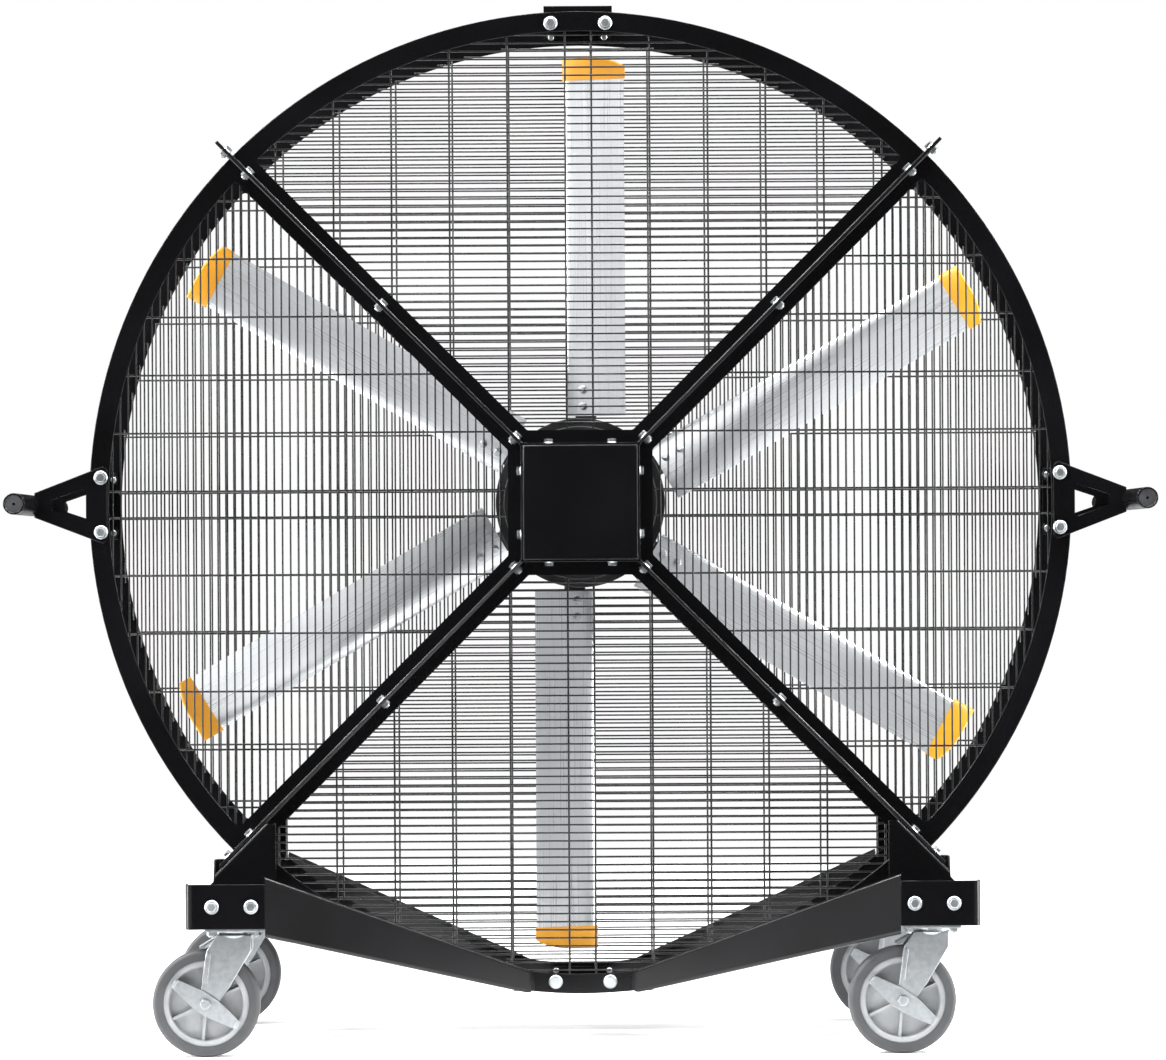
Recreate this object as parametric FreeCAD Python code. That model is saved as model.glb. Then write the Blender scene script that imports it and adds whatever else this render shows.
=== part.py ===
"""Portable floor fan: a wire-guarded rotor in a two-ring cage on a base with four swivel casters.

Millimetres, Z up, the front faces -Y. The origin is on the floor under the middle of the fan.
"""
import math
import os

import FreeCAD
import Part
from FreeCAD import Vector

# Driving dimensions of the cage.
RING_R = 990.0
RING_BAND = 40.0
GROUND_GAP = 102.0
CAGE_HALF = 150.0
SHEET = 3.5
FLANGE = 32.0
LEG_WIDTH = 28.0
COVER_HALF = 116.0
WIRE_D = 3.5
WIRE_PITCH = 16.28
SUPPORT_D = 4.0
SUPPORT_PITCH = 117.0

# Driving dimensions of the rotor.
DRUM_R = 172.0
DRUM_HALF = 62.0
AXLE_R = 20.0
BLADE_COUNT = 6
BLADE_LEAD = 31.0
BLADE_TRAIL = 101.0
BLADE_THICK = 18.0
BLADE_PITCH = 23.0
TIP_GAP = 40.0
TIP_LENGTH = 46.0

# Driving dimensions of the base, the handles and the casters.
BASE_HALF = 432.0
TRAY_WIDTH = 157.0
TRAY_HEIGHT = 88.5
TRAY_LIP = 28.0
PLATE = 4.0
HANDLE_REACH = 121.0
HANDLE_R = 21.2
WHEEL_R = 106.0
WHEEL_WIDTH = 50.0
CASTER_RISE = 149.0
CASTER_TRAIL = 57.0

# Clearances: a turning fit, the gap between moving pieces, and the step of a wire into a weld.
RUNNING = 0.05
GAP = 0.4
WELD = 0.25

# Sizes worked out from the driving dimensions.
ROOT2 = math.sqrt(2.0)
HUB_Z = RING_R + GROUND_GAP
RING_IN = RING_R - RING_BAND
TAB_R = RING_R + RING_BAND
BOLT_R = RING_R - 0.6 * RING_BAND
WIRE_END = RING_IN + 6.0
FACE = CAGE_HALF
BACK = CAGE_HALF - SHEET
FRONT_EDGE = CAGE_HALF + FLANGE
BOLT_Y = CAGE_HALF + FLANGE / 2.0
CHORD_OUT = COVER_HALF + 30.0
RING_BOLT_X = 55.0
COVER_BOLT_X = 0.55 * COVER_HALF
SPOKE_BOLTS = (COVER_HALF * ROOT2 + 21.0, 0.57 * RING_R, RING_IN - 8.0, RING_R + 14.0)
BRIDGE_HALF = 69.0
HANDLE_X = RING_R + HANDLE_REACH
BAR_HALF = BASE_HALF
TIP_R = RING_IN - TIP_GAP
TRAY_OUT = TAB_R / ROOT2 + 52.0
TRAY_IN = TRAY_OUT - TRAY_WIDTH
TRAY_Z = WHEEL_R + CASTER_RISE
TRAY_TOP = TRAY_Z + TRAY_HEIGHT
TRAY_FLOOR = TRAY_Z + PLATE
CASTER_X = TRAY_OUT - 94.0
CASTER_Y = BASE_HALF - 75.0
MOTOR_PLATE = 5.0
BOX_DEPTH = 90.0
KNOB_PLACE = (48.0, -40.0)
COVER_WALL = 3.0
BRACKET = 5.0

# Bolt sizes, their washers, and where the base is bolted.
RING_BOLT = 12.0
RING_WASHER = 28.0
SPOKE_BOLT = 10.0
SPOKE_WASHER = 21.0
WALL_BOLTS = (TRAY_OUT - 52.5, TRAY_OUT - 129.5)
WALL_BOLT_Z = TRAY_Z + TRAY_HEIGHT / 2.0
FOOT_BOLTS = (TRAY_OUT - 60.0, TRAY_OUT - 115.0)
FOOT_BACK = 2.0
CASTER_BOLT_X = 45.0
CASTER_BOLT_Y = 42.0

# Bearings, beams and caster pieces.
BEARING_R = 36.0
BEARING_HALF = 9.0
BEAM_IN = 110.0
BEAM_LIP = 34.0
RACE = 8.0
CASTER_PLATE = 6.0
PIN_R = 8.0
CROWN = 6.0
FORK_PLATE = 5.0
FOLD = 7.0
WHEEL_AXLE_R = 6.0
CASTERS = (("fl", -1, -1), ("fr", 1, -1), ("rl", -1, 1), ("rr", 1, 1))

os.makedirs("parts", exist_ok=True)


def block(x0, x1, y0, y1, z0, z1):
    """Box between two corners."""
    return Part.makeBox(x1 - x0, y1 - y0, z1 - z0, Vector(x0, y0, z0))


def rod(radius, start, end):
    """Round bar from one point to another."""
    axis = end.sub(start)
    return Part.makeCylinder(radius, axis.Length, start, axis)


def pipe(outer, inner, start, end):
    """Round tube from one point to another."""
    return rod(outer, start, end).cut(rod(inner, start, end))


def disc(outer, inner, y0, y1):
    """Flat ring around the rotor axis."""
    return pipe(outer, inner, Vector(0, y0, 0), Vector(0, y1, 0))


def slab(points, y0, y1):
    """Plate with an outline in X and Z and its thickness along Y."""
    corners = [Vector(x, y0, z) for x, z in points]
    face = Part.Face(Part.makePolygon(corners + corners[:1]))
    return face.extrude(Vector(0, y1 - y0, 0))


def round_corners(shape, radius):
    """Round the edges that run along Y."""
    edges = []
    for edge in shape.Edges:
        if isinstance(edge.Curve, Part.Line) and abs(edge.Curve.Direction.y) > 0.99:
            edges.append(edge)
    return shape.makeFillet(radius, edges)


def turned(shape, angle, axis=Vector(0, 1, 0), centre=Vector(0, 0, 0)):
    """Copy turned about an axis, by default the rotor axis."""
    copy = shape.copy()
    copy.rotate(centre, axis, angle)
    return copy


def moved(shape, x, y, z):
    """Copy moved in a straight line."""
    copy = shape.copy()
    copy.translate(Vector(x, y, z))
    return copy


def raised(shape):
    """Copy of a piece made around the rotor axis, at its height above the floor."""
    return moved(shape, 0, 0, HUB_Z)


def flipped(shape, x, y):
    """Mirror copy across the middle planes, where x or y is -1."""
    copy = shape.copy()
    if x < 0:
        copy = copy.mirror(Vector(0, 0, 0), Vector(1, 0, 0))
    if y < 0:
        copy = copy.mirror(Vector(0, 0, 0), Vector(0, 1, 0))
    return copy


def joined(shapes):
    """One solid from touching shapes."""
    return shapes[0].multiFuse(shapes[1:]).removeSplitter()


def save(name, shapes):
    """Write one node, from a solid or a list of separate solids."""
    solids = []
    for shape in shapes if isinstance(shapes, list) else [shapes]:
        solids.extend(shape.Solids)
    whole = solids[0] if len(solids) == 1 else Part.makeCompound(solids)
    whole.exportStep("parts/" + name + ".step")


def hexagon(flats, z0, z1):
    """Six-sided prism standing on Z."""
    radius = flats / math.sqrt(3.0)
    corners = []
    for i in range(7):
        angle = math.radians(60.0 * i)
        corners.append(Vector(radius * math.cos(angle), radius * math.sin(angle), z0))
    return Part.Face(Part.makePolygon(corners)).extrude(Vector(0, 0, z1 - z0))


def bolt(under_head, towards, grip, size, washer):
    """Flange bolt with its nut: the point under its head, its direction and the thickness it clamps."""
    rim = 0.22 * size
    nut = 0.8 * size
    pieces = [
        Part.makeCylinder(size / 2, grip + nut + 0.3 * size),
        Part.makeCylinder(washer / 2, rim, Vector(0, 0, -rim)),
        hexagon(1.5 * size, -rim - 0.6 * size, -rim),
        hexagon(1.5 * size, grip, grip + nut),
    ]
    shape = joined(pieces)
    shape.Placement = FreeCAD.Placement(under_head, FreeCAD.Rotation(Vector(0, 0, 1), towards))
    return shape


def drill(middle, axis, size, length=60.0):
    """Cutter for a bolt hole."""
    half = Vector(axis).normalize().multiply(length / 2)
    return rod(size / 2, middle.sub(half), middle.add(half))


def sector(chord, side, radius, y0, y1):
    """Quarter plate around the top: a straight inner edge, two edges beside the diagonals and an arc."""
    run = math.sqrt(radius ** 2 - side ** 2)
    low = chord - side * ROOT2
    far_x = (run - side) / ROOT2
    far_z = (run + side) / ROOT2
    a = Vector(-low, y0, chord)
    b = Vector(low, y0, chord)
    c = Vector(far_x, y0, far_z)
    d = Vector(-far_x, y0, far_z)
    edges = [
        Part.LineSegment(a, b).toShape(),
        Part.LineSegment(b, c).toShape(),
        Part.Arc(c, Vector(0, y0, radius), d).toShape(),
        Part.LineSegment(d, a).toShape(),
    ]
    return Part.Face(Part.Wire(edges)).extrude(Vector(0, y1 - y0, 0))


def quadrant_frame():
    """Sheet frame of one guard quadrant, with flanges that stand forward on its straight sides."""
    sheet = sector(COVER_HALF, 0.0, RING_R, -FACE, -BACK)
    opening = sector(CHORD_OUT, LEG_WIDTH, RING_IN, -FACE - 1.0, -BACK + 1.0)
    pieces = [sheet.cut(round_corners(opening, 8.0))]
    start = COVER_HALF * ROOT2 + SHEET
    side = block(-SHEET, 0, -FRONT_EDGE, -BACK, start, TAB_R)
    other = block(0, SHEET, -FRONT_EDGE, -BACK, start, TAB_R)
    pieces.append(turned(side, 45))
    pieces.append(turned(other, -45))
    pieces.append(block(-COVER_HALF, COVER_HALF, -FRONT_EDGE, -BACK, COVER_HALF, COVER_HALF + SHEET))
    holes = []
    for sign in (-1, 1):
        holes.append(drill(Vector(sign * RING_BOLT_X, -FACE, BOLT_R), Vector(0, 1, 0), RING_BOLT))
        spot = Vector(sign * COVER_BOLT_X, -BOLT_Y, COVER_HALF)
        holes.append(drill(spot, Vector(0, 0, 1), SPOKE_BOLT, 30))
        for radius in SPOKE_BOLTS:
            hole = drill(Vector(0, -BOLT_Y, radius), Vector(1, 0, 0), SPOKE_BOLT, 20)
            holes.append(turned(hole, sign * 45))
    return joined(pieces).cut(Part.makeCompound(holes))


def quadrant_grille():
    """Welded wires of one quadrant, drawn square: close ones on the sheet, support ones behind."""
    weld_side = (LEG_WIDTH - 12.0) * ROOT2
    support_y = -BACK + WIRE_D - WELD
    wires = []
    height = CHORD_OUT + 0.94 * WIRE_PITCH
    while height < RING_IN - 4.0:
        half = min(height - weld_side, math.sqrt(WIRE_END ** 2 - height ** 2))
        low = height - WIRE_D / 2
        wires.append(block(-half, half, -BACK, -BACK + WIRE_D, low, low + WIRE_D))
        height += WIRE_PITCH
    across = 26.5
    while across + weld_side < WIRE_END / ROOT2:
        low = max(CHORD_OUT + 4.0, across + weld_side)
        high = math.sqrt(WIRE_END ** 2 - across ** 2)
        for x in (-across - SUPPORT_D / 2, across - SUPPORT_D / 2):
            wires.append(block(x, x + SUPPORT_D, support_y, support_y + SUPPORT_D, low, high))
        across += SUPPORT_PITCH
    return wires[0].multiFuse(wires[1:])


def cage():
    """Front and rear guards: four frames and four grilles each."""
    frame = quadrant_frame()
    grille = quadrant_grille()
    for end, half_turn in (("front", 0), ("rear", 180)):
        grilles = []
        for place, angle in (("top", 0), ("right", 90), ("bottom", 180), ("left", 270)):
            angle = -angle if half_turn else angle
            facing = turned(turned(frame, angle), half_turn, Vector(0, 0, 1))
            save(end + "_frame_" + place, raised(facing))
            grilles.append(raised(turned(turned(grille, angle), half_turn, Vector(0, 0, 1))))
        save(end + "_grille", grilles)


def bridge(top):
    """Channel that holds the two rings apart."""
    low = WIRE_END + 2.0
    pieces = [block(-BRIDGE_HALF, BRIDGE_HALF, -BACK, BACK, top - PLATE, top)]
    for y in (-BACK, BACK - PLATE):
        pieces.append(block(-BRIDGE_HALF, BRIDGE_HALF, y, y + PLATE, low, top))
    shape = joined(pieces)
    for x in (-RING_BOLT_X, RING_BOLT_X):
        shape = shape.cut(drill(Vector(x, 0, BOLT_R), Vector(0, 1, 0), RING_BOLT, 4 * CAGE_HALF))
    return shape


def bridges():
    """Four ring bridges: the top one stands above the rings, the others stay inside them."""
    tall = bridge(RING_R + 11.0)
    short = bridge(RING_R - 4.0)
    shapes = [raised(tall)]
    for angle in (90, 180, 270):
        shapes.append(raised(turned(short, angle)))
    save("ring_bridges", shapes)


def handle_bracket():
    """Tapered plate from the right of the front ring out to the handle bar."""
    end = HANDLE_X - 11.0
    near = RING_IN + 3.0
    outline = [(near, 70), (near + 9, 78), (end, 25), (end, -25), (near + 9, -78), (near, -70)]
    plate = slab(outline, -FACE - BRACKET, -FACE)
    inner = RING_R + 6.0
    outer = HANDLE_X - 2 * HANDLE_R
    window = slab([(inner, 34), (outer, 9.5), (outer, -9.5), (inner, -34)], -FACE - 9, -FACE + 4)
    plate = plate.cut(round_corners(window, 6.0))
    plate = plate.cut(rod(HANDLE_R, Vector(HANDLE_X, -FACE - 20, 0), Vector(HANDLE_X, -FACE + 20, 0)))
    for z in (-RING_BOLT_X, RING_BOLT_X):
        plate = plate.cut(drill(Vector(BOLT_R, -FACE, z), Vector(0, 1, 0), RING_BOLT))
    return plate


def handles():
    """Handle bars along both sides, their brackets and their end plugs."""
    bracket = raised(handle_bracket())
    save("handle_brackets", [flipped(bracket, x, y) for x in (1, -1) for y in (1, -1)])
    head = 3.0
    bore = HANDLE_R - 3.0
    plugs = []
    for side, x in (("left", -HANDLE_X), ("right", HANDLE_X)):
        tube = pipe(HANDLE_R, bore, Vector(x, -BAR_HALF, HUB_Z), Vector(x, BAR_HALF, HUB_Z))
        save("handle_bar_" + side, tube)
        for sign in (-1, 1):
            end = Vector(x, sign * BAR_HALF, HUB_Z)
            out = Vector(0, sign, 0)
            plug = rod(HANDLE_R, end, end.add(out * head))
            plug = plug.fuse(rod(bore, end, end.sub(out * 22.0)))
            plug = plug.cut(rod(HANDLE_R - 4.0, end.add(out * 1.4), end.add(out * 2 * head)))
            plugs.append(plug.cut(rod(2.8, end.sub(out * 40.0), end.add(out * 10.0))))
    save("handle_plugs", plugs)


def cover_pan(depth, wall):
    """Square pan with rounded edges that slips inside the inner flanges, open towards the motor."""
    half = COVER_HALF
    front = -BACK - depth
    pan = block(-half, half, front, -BACK, -half, half)
    edges = []
    for edge in pan.Edges:
        if abs(edge.CenterOfMass.y - front) < 0.01:
            edges.append(edge)
    pan = pan.makeFillet(5.0, edges)
    inner = half - wall
    pan = pan.cut(block(-inner, inner, front + wall, -BACK + 1, -inner, inner))
    holes = []
    for side in range(4):
        for x in (-COVER_BOLT_X, COVER_BOLT_X):
            hole = drill(Vector(x, -BOLT_Y, half), Vector(0, 0, 1), SPOKE_BOLT, 30)
            holes.append(turned(hole, 90 * side))
    return pan.cut(Part.makeCompound(holes))


def hub():
    """Covers, motor mounts, axle and stator, all fixed to the cage."""
    save("front_cover", raised(cover_pan(FLANGE + SHEET + 6.0, COVER_WALL)))
    box_face = BACK + BOX_DEPTH
    knob_x, knob_z = KNOB_PLACE
    box = turned(cover_pan(BOX_DEPTH, COVER_WALL), 180, Vector(0, 0, 1))
    stem = 4.0
    box = box.cut(drill(Vector(knob_x, box_face, knob_z), Vector(0, 1, 0), 2 * (stem + RUNNING), 20))
    gland_y = BACK + 0.62 * BOX_DEPTH
    gland_x = -0.45 * COVER_HALF
    floor = -COVER_HALF
    box = box.cut(drill(Vector(gland_x, gland_y, floor), Vector(0, 0, 1), 25, 20))
    save("rear_box", raised(box))

    gland = hexagon(33, -8, 0)
    gland = gland.fuse(Part.makeCylinder(13.5, 16, Vector(0, 0, -24)))
    gland = gland.fuse(Part.makeCylinder(12.5, COVER_WALL + 10))
    gland = gland.fuse(hexagon(33, COVER_WALL, COVER_WALL + 6))
    gland = gland.cut(Part.makeCylinder(6, 80, Vector(0, 0, -40)))
    save("cable_gland", raised(moved(gland, gland_x, gland_y, floor)))

    drive_half = 0.6 * COVER_HALF
    drive = block(-drive_half, drive_half, BACK + 32, BACK + 70, 4, COVER_HALF - COVER_WALL)
    save("motor_drive", raised(drive))

    cap = COVER_WALL + 20.0
    knob = rod(22, Vector(0, GAP, 0), Vector(0, cap, 0))
    knob = knob.makeFillet(2.0, [knob.Edges[0], knob.Edges[2]])
    knob = knob.fuse(rod(stem, Vector(0, -14, 0), Vector(0, cap / 2, 0)))
    knob = knob.fuse(block(-3, 3, cap - 3, cap + 4, -20, 20))
    save("speed_knob", raised(moved(knob, knob_x, box_face, knob_z)))

    mounts = []
    nuts = []
    for sign in (-1, 1):
        face = BACK - MOTOR_PLATE
        plate = block(-CHORD_OUT, CHORD_OUT, face, BACK, -CHORD_OUT, CHORD_OUT)
        plate = plate.cut(rod(AXLE_R, Vector(0, 0, 0), Vector(0, 2 * BACK, 0)))
        nut = turned(hexagon(62, BACK, BACK + 16), -90, Vector(1, 0, 0))
        nuts.append(flipped(nut, 1, sign))
        mounts.append(raised(flipped(plate, 1, sign)))
    save("motor_mounts", mounts)
    reach = BACK + 22.0
    axle = rod(AXLE_R, Vector(0, -reach, 0), Vector(0, reach, 0))
    save("motor_axle", raised(joined([axle] + nuts)))

    core_half = 28.0
    bell_in = DRUM_R - 12.0
    core_r = bell_in - 10.0
    stator = [disc(core_r, AXLE_R, -core_half, core_half)]
    for sign in (-1, 1):
        coil = disc(core_r - 3.0, 0.55 * core_r, core_half, core_half + 12)
        stator.append(flipped(coil, 1, sign))
    save("stator", [raised(shape) for shape in stator])


def airfoil(lead, trail, thick, z0, z1):
    """Cambered blade section around the pitch axis of the top blade, drawn out along the radius."""
    chord = lead + trail
    camber = 0.03 * (BLADE_LEAD + BLADE_TRAIL)
    pitch = math.radians(BLADE_PITCH)
    count = 14

    def place(share, side):
        along = share * chord - lead
        middle = (along + BLADE_LEAD) / (BLADE_LEAD + BLADE_TRAIL)
        rise = 4.0 * camber * middle * (1.0 - middle)
        root = 1.485 * math.sqrt(share) - 0.63 * share - 1.758 * share ** 2
        half = thick * (root + 1.4215 * share ** 3 - 0.4835 * share ** 4)
        up = rise + side * half
        x = along * math.cos(pitch) + up * math.sin(pitch)
        y = -along * math.sin(pitch) + up * math.cos(pitch)
        return Vector(x, y, z0)

    shares = [0.5 * (1.0 - math.cos(math.pi * i / count)) for i in range(count + 1)]
    back = Part.BSplineCurve()
    back.interpolate([place(share, 1.0) for share in reversed(shares)])
    front = Part.BSplineCurve()
    front.interpolate([place(share, -1.0) for share in shares])
    tail = Part.LineSegment(place(1.0, -1.0), place(1.0, 1.0)).toShape()
    wire = Part.Wire([back.toShape(), front.toShape(), tail])
    return Part.Face(wire).extrude(Vector(0, 0, z1 - z0))


def tilted(shape):
    """Piece made flat on a blade's chord, turned to the blade pitch of the top blade."""
    return turned(shape, -BLADE_PITCH, Vector(0, 0, 1))


def rotor():
    """Everything that spins: drum with blade arms, cover, magnets, bearings, blades and tips."""
    bell_in = DRUM_R - 12.0
    end = DRUM_HALF + 8.0
    boss = 46.0
    seat = DRUM_HALF - 16.0
    root_r = DRUM_R + 6.0
    arm_end = root_r + 72.0
    step = DRUM_R - 17.0
    drum = joined([
        disc(DRUM_R, bell_in, -end, DRUM_HALF),
        disc(DRUM_R, BEARING_R, -end, -DRUM_HALF),
        disc(step, BEARING_R, -end - 6, -end),
        disc(boss, BEARING_R, -DRUM_HALF, -seat),
    ])
    cover = joined([disc(DRUM_R, BEARING_R, DRUM_HALF, end), disc(boss, BEARING_R, seat, DRUM_HALF)])

    lift = 3.2
    arm = tilted(block(-10, 34, lift - 3.5, lift + 3.5, bell_in + 4, arm_end))
    blade_end = TIP_R - 32.0
    blade = airfoil(BLADE_LEAD, BLADE_TRAIL, BLADE_THICK, root_r, blade_end)
    hollow = airfoil(BLADE_LEAD - 5, BLADE_TRAIL - 22, BLADE_THICK - 5, root_r - 1, blade_end - 6)
    blade = blade.cut(hollow)

    tip_start = TIP_R - TIP_LENGTH
    tip = airfoil(BLADE_LEAD + 3.5, BLADE_TRAIL + 2.5, BLADE_THICK + 4, tip_start, TIP_R)
    tip = tip.cut(airfoil(BLADE_LEAD, BLADE_TRAIL, BLADE_THICK, tip_start - 1, blade_end))
    sweep = 100.0
    flat = 0.53
    drop = 26.0
    corner = BLADE_TRAIL - 85.0
    keep = block(-200, corner, -150, 150, tip_start - 5, TIP_R + 5)
    rounded = Part.makeCylinder(sweep, 300, Vector(corner, -150, 0), Vector(0, 1, 0))
    stretch = FreeCAD.Matrix()
    stretch.scale(Vector(1.0, 1.0, flat))
    rounded = rounded.transformGeometry(stretch)
    rounded = moved(rounded, 0, 0, TIP_R - flat * sweep)
    below = block(corner, 200, -150, 150, tip_start - 5, TIP_R - drop)
    tip = tip.common(joined([keep, rounded, below]))

    holes = []
    bolts = []
    for radius in (root_r + 20.0, root_r + 54.0):
        spot = tilted(moved(rod(4, Vector(0, -40, 0), Vector(0, 40, 0)), 10, 0, radius))
        holes.append(spot)
        fixing = bolt(Vector(10, -7.4, radius), Vector(0, 1, 0), 21.6, 8, 16)
        bolts.append(tilted(fixing))
    drilled = Part.makeCompound(holes)
    blade = blade.cut(drilled)
    arm = arm.cut(drilled)

    arms = []
    tips = []
    fixings = []
    for i in range(BLADE_COUNT):
        angle = 360.0 * i / BLADE_COUNT
        arms.append(turned(arm, angle))
        tips.append(raised(turned(tip, angle)))
        fixings.extend(raised(turned(shape, angle)) for shape in bolts)
        save("blade_" + str(i + 1), raised(turned(blade, angle)))
    save("blade_tips", tips)
    save("blade_bolts", fixings)
    save("rotor_drum", raised(joined([drum] + arms)))
    save("rotor_cover", raised(cover))
    save("magnet_ring", raised(disc(bell_in, bell_in - 8, -30, 30)))
    bearings = []
    for y in (-seat - BEARING_HALF, seat + BEARING_HALF):
        bearings.append(raised(disc(BEARING_R, AXLE_R + RUNNING, y - BEARING_HALF, y + BEARING_HALF)))
    save("bearings", bearings)


def tray():
    """Right base tray: a floor with front and rear walls that turn round the corners, and a low outer lip."""

    def outline(inset, inner, z, height):
        r = 16.0 - inset
        out = TRAY_OUT - inset
        half = BASE_HALF - inset
        bend = r * (1.0 - 1.0 / ROOT2)
        a = Vector(inner, -half, z)
        b = Vector(out - r, -half, z)
        c = Vector(out, -half + r, z)
        d = Vector(out, half - r, z)
        e = Vector(out - r, half, z)
        f = Vector(inner, half, z)
        edges = [
            Part.LineSegment(a, b).toShape(),
            Part.Arc(b, Vector(out - bend, -half + bend, z), c).toShape(),
            Part.LineSegment(c, d).toShape(),
            Part.Arc(d, Vector(out - bend, half - bend, z), e).toShape(),
            Part.LineSegment(e, f).toShape(),
            Part.LineSegment(f, a).toShape(),
        ]
        return Part.Face(Part.Wire(edges)).extrude(Vector(0, 0, height))

    shape = outline(0.0, TRAY_IN, TRAY_Z, TRAY_HEIGHT)
    shape = shape.cut(outline(PLATE, TRAY_IN - 1, TRAY_FLOOR, TRAY_HEIGHT))
    lip = TRAY_Z + TRAY_LIP
    turn = BASE_HALF - 38.0
    foot = turn - 44.0
    dip = slab([(-turn, TRAY_TOP + 1), (-foot, lip), (foot, lip), (turn, TRAY_TOP + 1)], 0, PLATE + 2)
    dip = turned(dip, -90, Vector(0, 0, 1))
    shape = shape.cut(moved(dip, TRAY_OUT - PLATE - 1, 0, 0))
    holes = []
    for x in WALL_BOLTS:
        holes.append(drill(Vector(x, 0, WALL_BOLT_Z), Vector(0, 1, 0), RING_BOLT, 3 * BASE_HALF))
    for y in (-BOLT_Y - FOOT_BACK, BOLT_Y + FOOT_BACK):
        for x in FOOT_BOLTS:
            holes.append(drill(Vector(x, y, TRAY_Z), Vector(0, 0, 1), SPOKE_BOLT, 30))
    for y in (-CASTER_Y, CASTER_Y):
        for dx in (-CASTER_BOLT_X, CASTER_BOLT_X):
            for dy in (-CASTER_BOLT_Y, CASTER_BOLT_Y):
                spot = Vector(CASTER_X + dx, y + dy, TRAY_Z)
                holes.append(drill(spot, Vector(0, 0, 1), SPOKE_BOLT, 40))
    return shape.cut(Part.makeCompound(holes))


def beam():
    """Right front beam: a tapered channel from the tray wall back to the bottom of the front ring."""
    face = -FACE - PLATE
    run_x = TRAY_IN - BEAM_IN
    run_y = face + BASE_HALF
    length = math.hypot(run_x, run_y)
    outer_low = TRAY_Z - 15.0
    outer_high = TRAY_TOP + 16.0
    inner_low = HUB_Z - RING_R + 2.0
    inner_high = HUB_Z - RING_IN + 10.0
    over = 40.0

    def at(s, low, high):
        return low + (high - low) * s / length

    start = -over
    stop = length + over
    low_a = at(start, outer_low, inner_low)
    low_b = at(stop, outer_low, inner_low)
    high_a = at(start, outer_high, inner_high)
    high_b = at(stop, outer_high, inner_high)

    def strip(bottom_a, bottom_b, top_a, top_b, depth):
        return slab([(start, bottom_a), (stop, bottom_b), (stop, top_b), (start, top_a)], -depth, 0)

    web = strip(low_a, low_b, high_a, high_b, PLATE)
    top = strip(high_a - PLATE, high_b - PLATE, high_a, high_b, BEAM_LIP)
    bottom = strip(low_a, low_b, low_a + PLATE, low_b + PLATE, BEAM_LIP)
    shape = joined([web, top, bottom])
    folds = []
    for edge in shape.Edges:
        middle = edge.CenterOfMass
        outside = middle.z > high_a - 1 or middle.z > at(length / 2, outer_high, inner_high) - 1
        outside = outside or middle.z < at(length / 2, outer_low, inner_low) + 1
        if edge.Length > length and abs(middle.y) < 0.01 and outside:
            folds.append(edge)
    shape = shape.makeFillet(FOLD, folds)
    angle = math.degrees(math.atan2(run_y, -run_x))
    shape = turned(shape, angle, Vector(0, 0, 1))
    shape = moved(shape, TRAY_IN, -BASE_HALF, 0)
    shape = shape.common(block(0, TRAY_IN - 0.1, -2 * BASE_HALF, -FACE, -10, HUB_Z))
    tab_y = -BASE_HALF + PLATE
    tab = block(TRAY_IN - 6, TRAY_OUT - 27, tab_y, tab_y + PLATE, TRAY_Z + 11, TRAY_TOP - 12)
    toe = block(BEAM_IN - 12, BEAM_IN + 30, face, -FACE, inner_low + 4, inner_high - 3)
    shape = joined([shape, tab, toe])
    for x in WALL_BOLTS:
        shape = shape.cut(drill(Vector(x, -BASE_HALF, WALL_BOLT_Z), Vector(0, 1, 0), RING_BOLT))
    return shape


def gusset():
    """Right front leg plate: bolted under the lower spoke, standing on the tray floor."""
    face = -FRONT_EDGE - PLATE
    begin = RING_R - 85.0
    finish = TAB_R + 17.0
    inner_x = TRAY_IN - 8.0
    outer_x = (finish - SHEET) / ROOT2
    toe_x = TRAY_OUT - 30.0
    foot = TRAY_FLOOR - HUB_Z
    low = SHEET * ROOT2
    top_z = -(begin + SHEET) / ROOT2
    outline = [
        (inner_x, foot),
        (outer_x, foot),
        (outer_x, -outer_x - low),
        (-top_z - low, top_z),
        (inner_x, top_z),
    ]
    plate = slab(outline, face, -FRONT_EDGE)
    below = low + FOLD * ROOT2 + 1.5
    toe = [(outer_x - 6, foot), (toe_x, foot), (toe_x, -toe_x - below), (outer_x - 6, 6 - outer_x - below)]
    plate = joined([plate, slab(toe, face, -FRONT_EDGE)])
    flange = turned(block(SHEET, SHEET + PLATE, face, -FACE - 2.0, begin - 20, finish + 20), 135)
    flange = flange.common(block(0, outer_x, face, -FACE, -HUB_Z, top_z))
    base = block(TRAY_IN + 4, outer_x, face, -FACE - 2.0, foot, foot + PLATE)
    shape = joined([plate, flange, base])
    folds = []
    for edge in shape.Edges:
        middle = edge.CenterOfMass
        if abs(middle.y - face) < 0.01 and abs(middle.x + middle.z + low) < 0.1:
            folds.append(edge)
    shape = shape.makeFillet(FOLD, folds)
    for radius in SPOKE_BOLTS[2:]:
        hole = drill(Vector(0, -BOLT_Y, radius), Vector(1, 0, 0), SPOKE_BOLT, 24)
        shape = shape.cut(turned(hole, 135))
    shape = raised(shape)
    for x in FOOT_BOLTS:
        spot = Vector(x, -BOLT_Y - FOOT_BACK, TRAY_FLOOR)
        shape = shape.cut(drill(spot, Vector(0, 0, 1), SPOKE_BOLT, 30))
    return shape


def leg_web():
    """Right leg web: an upright plate along the tray floor between the front and rear gussets."""
    out = TRAY_OUT - 75.0
    reach = FACE - 4.0
    wall = block(out - PLATE, out, -reach, reach, TRAY_FLOOR, TRAY_TOP - PLATE)
    foot = block(out - PLATE, out + 34, -reach, reach, TRAY_FLOOR, TRAY_FLOOR + PLATE)
    return joined([wall, foot])


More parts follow.
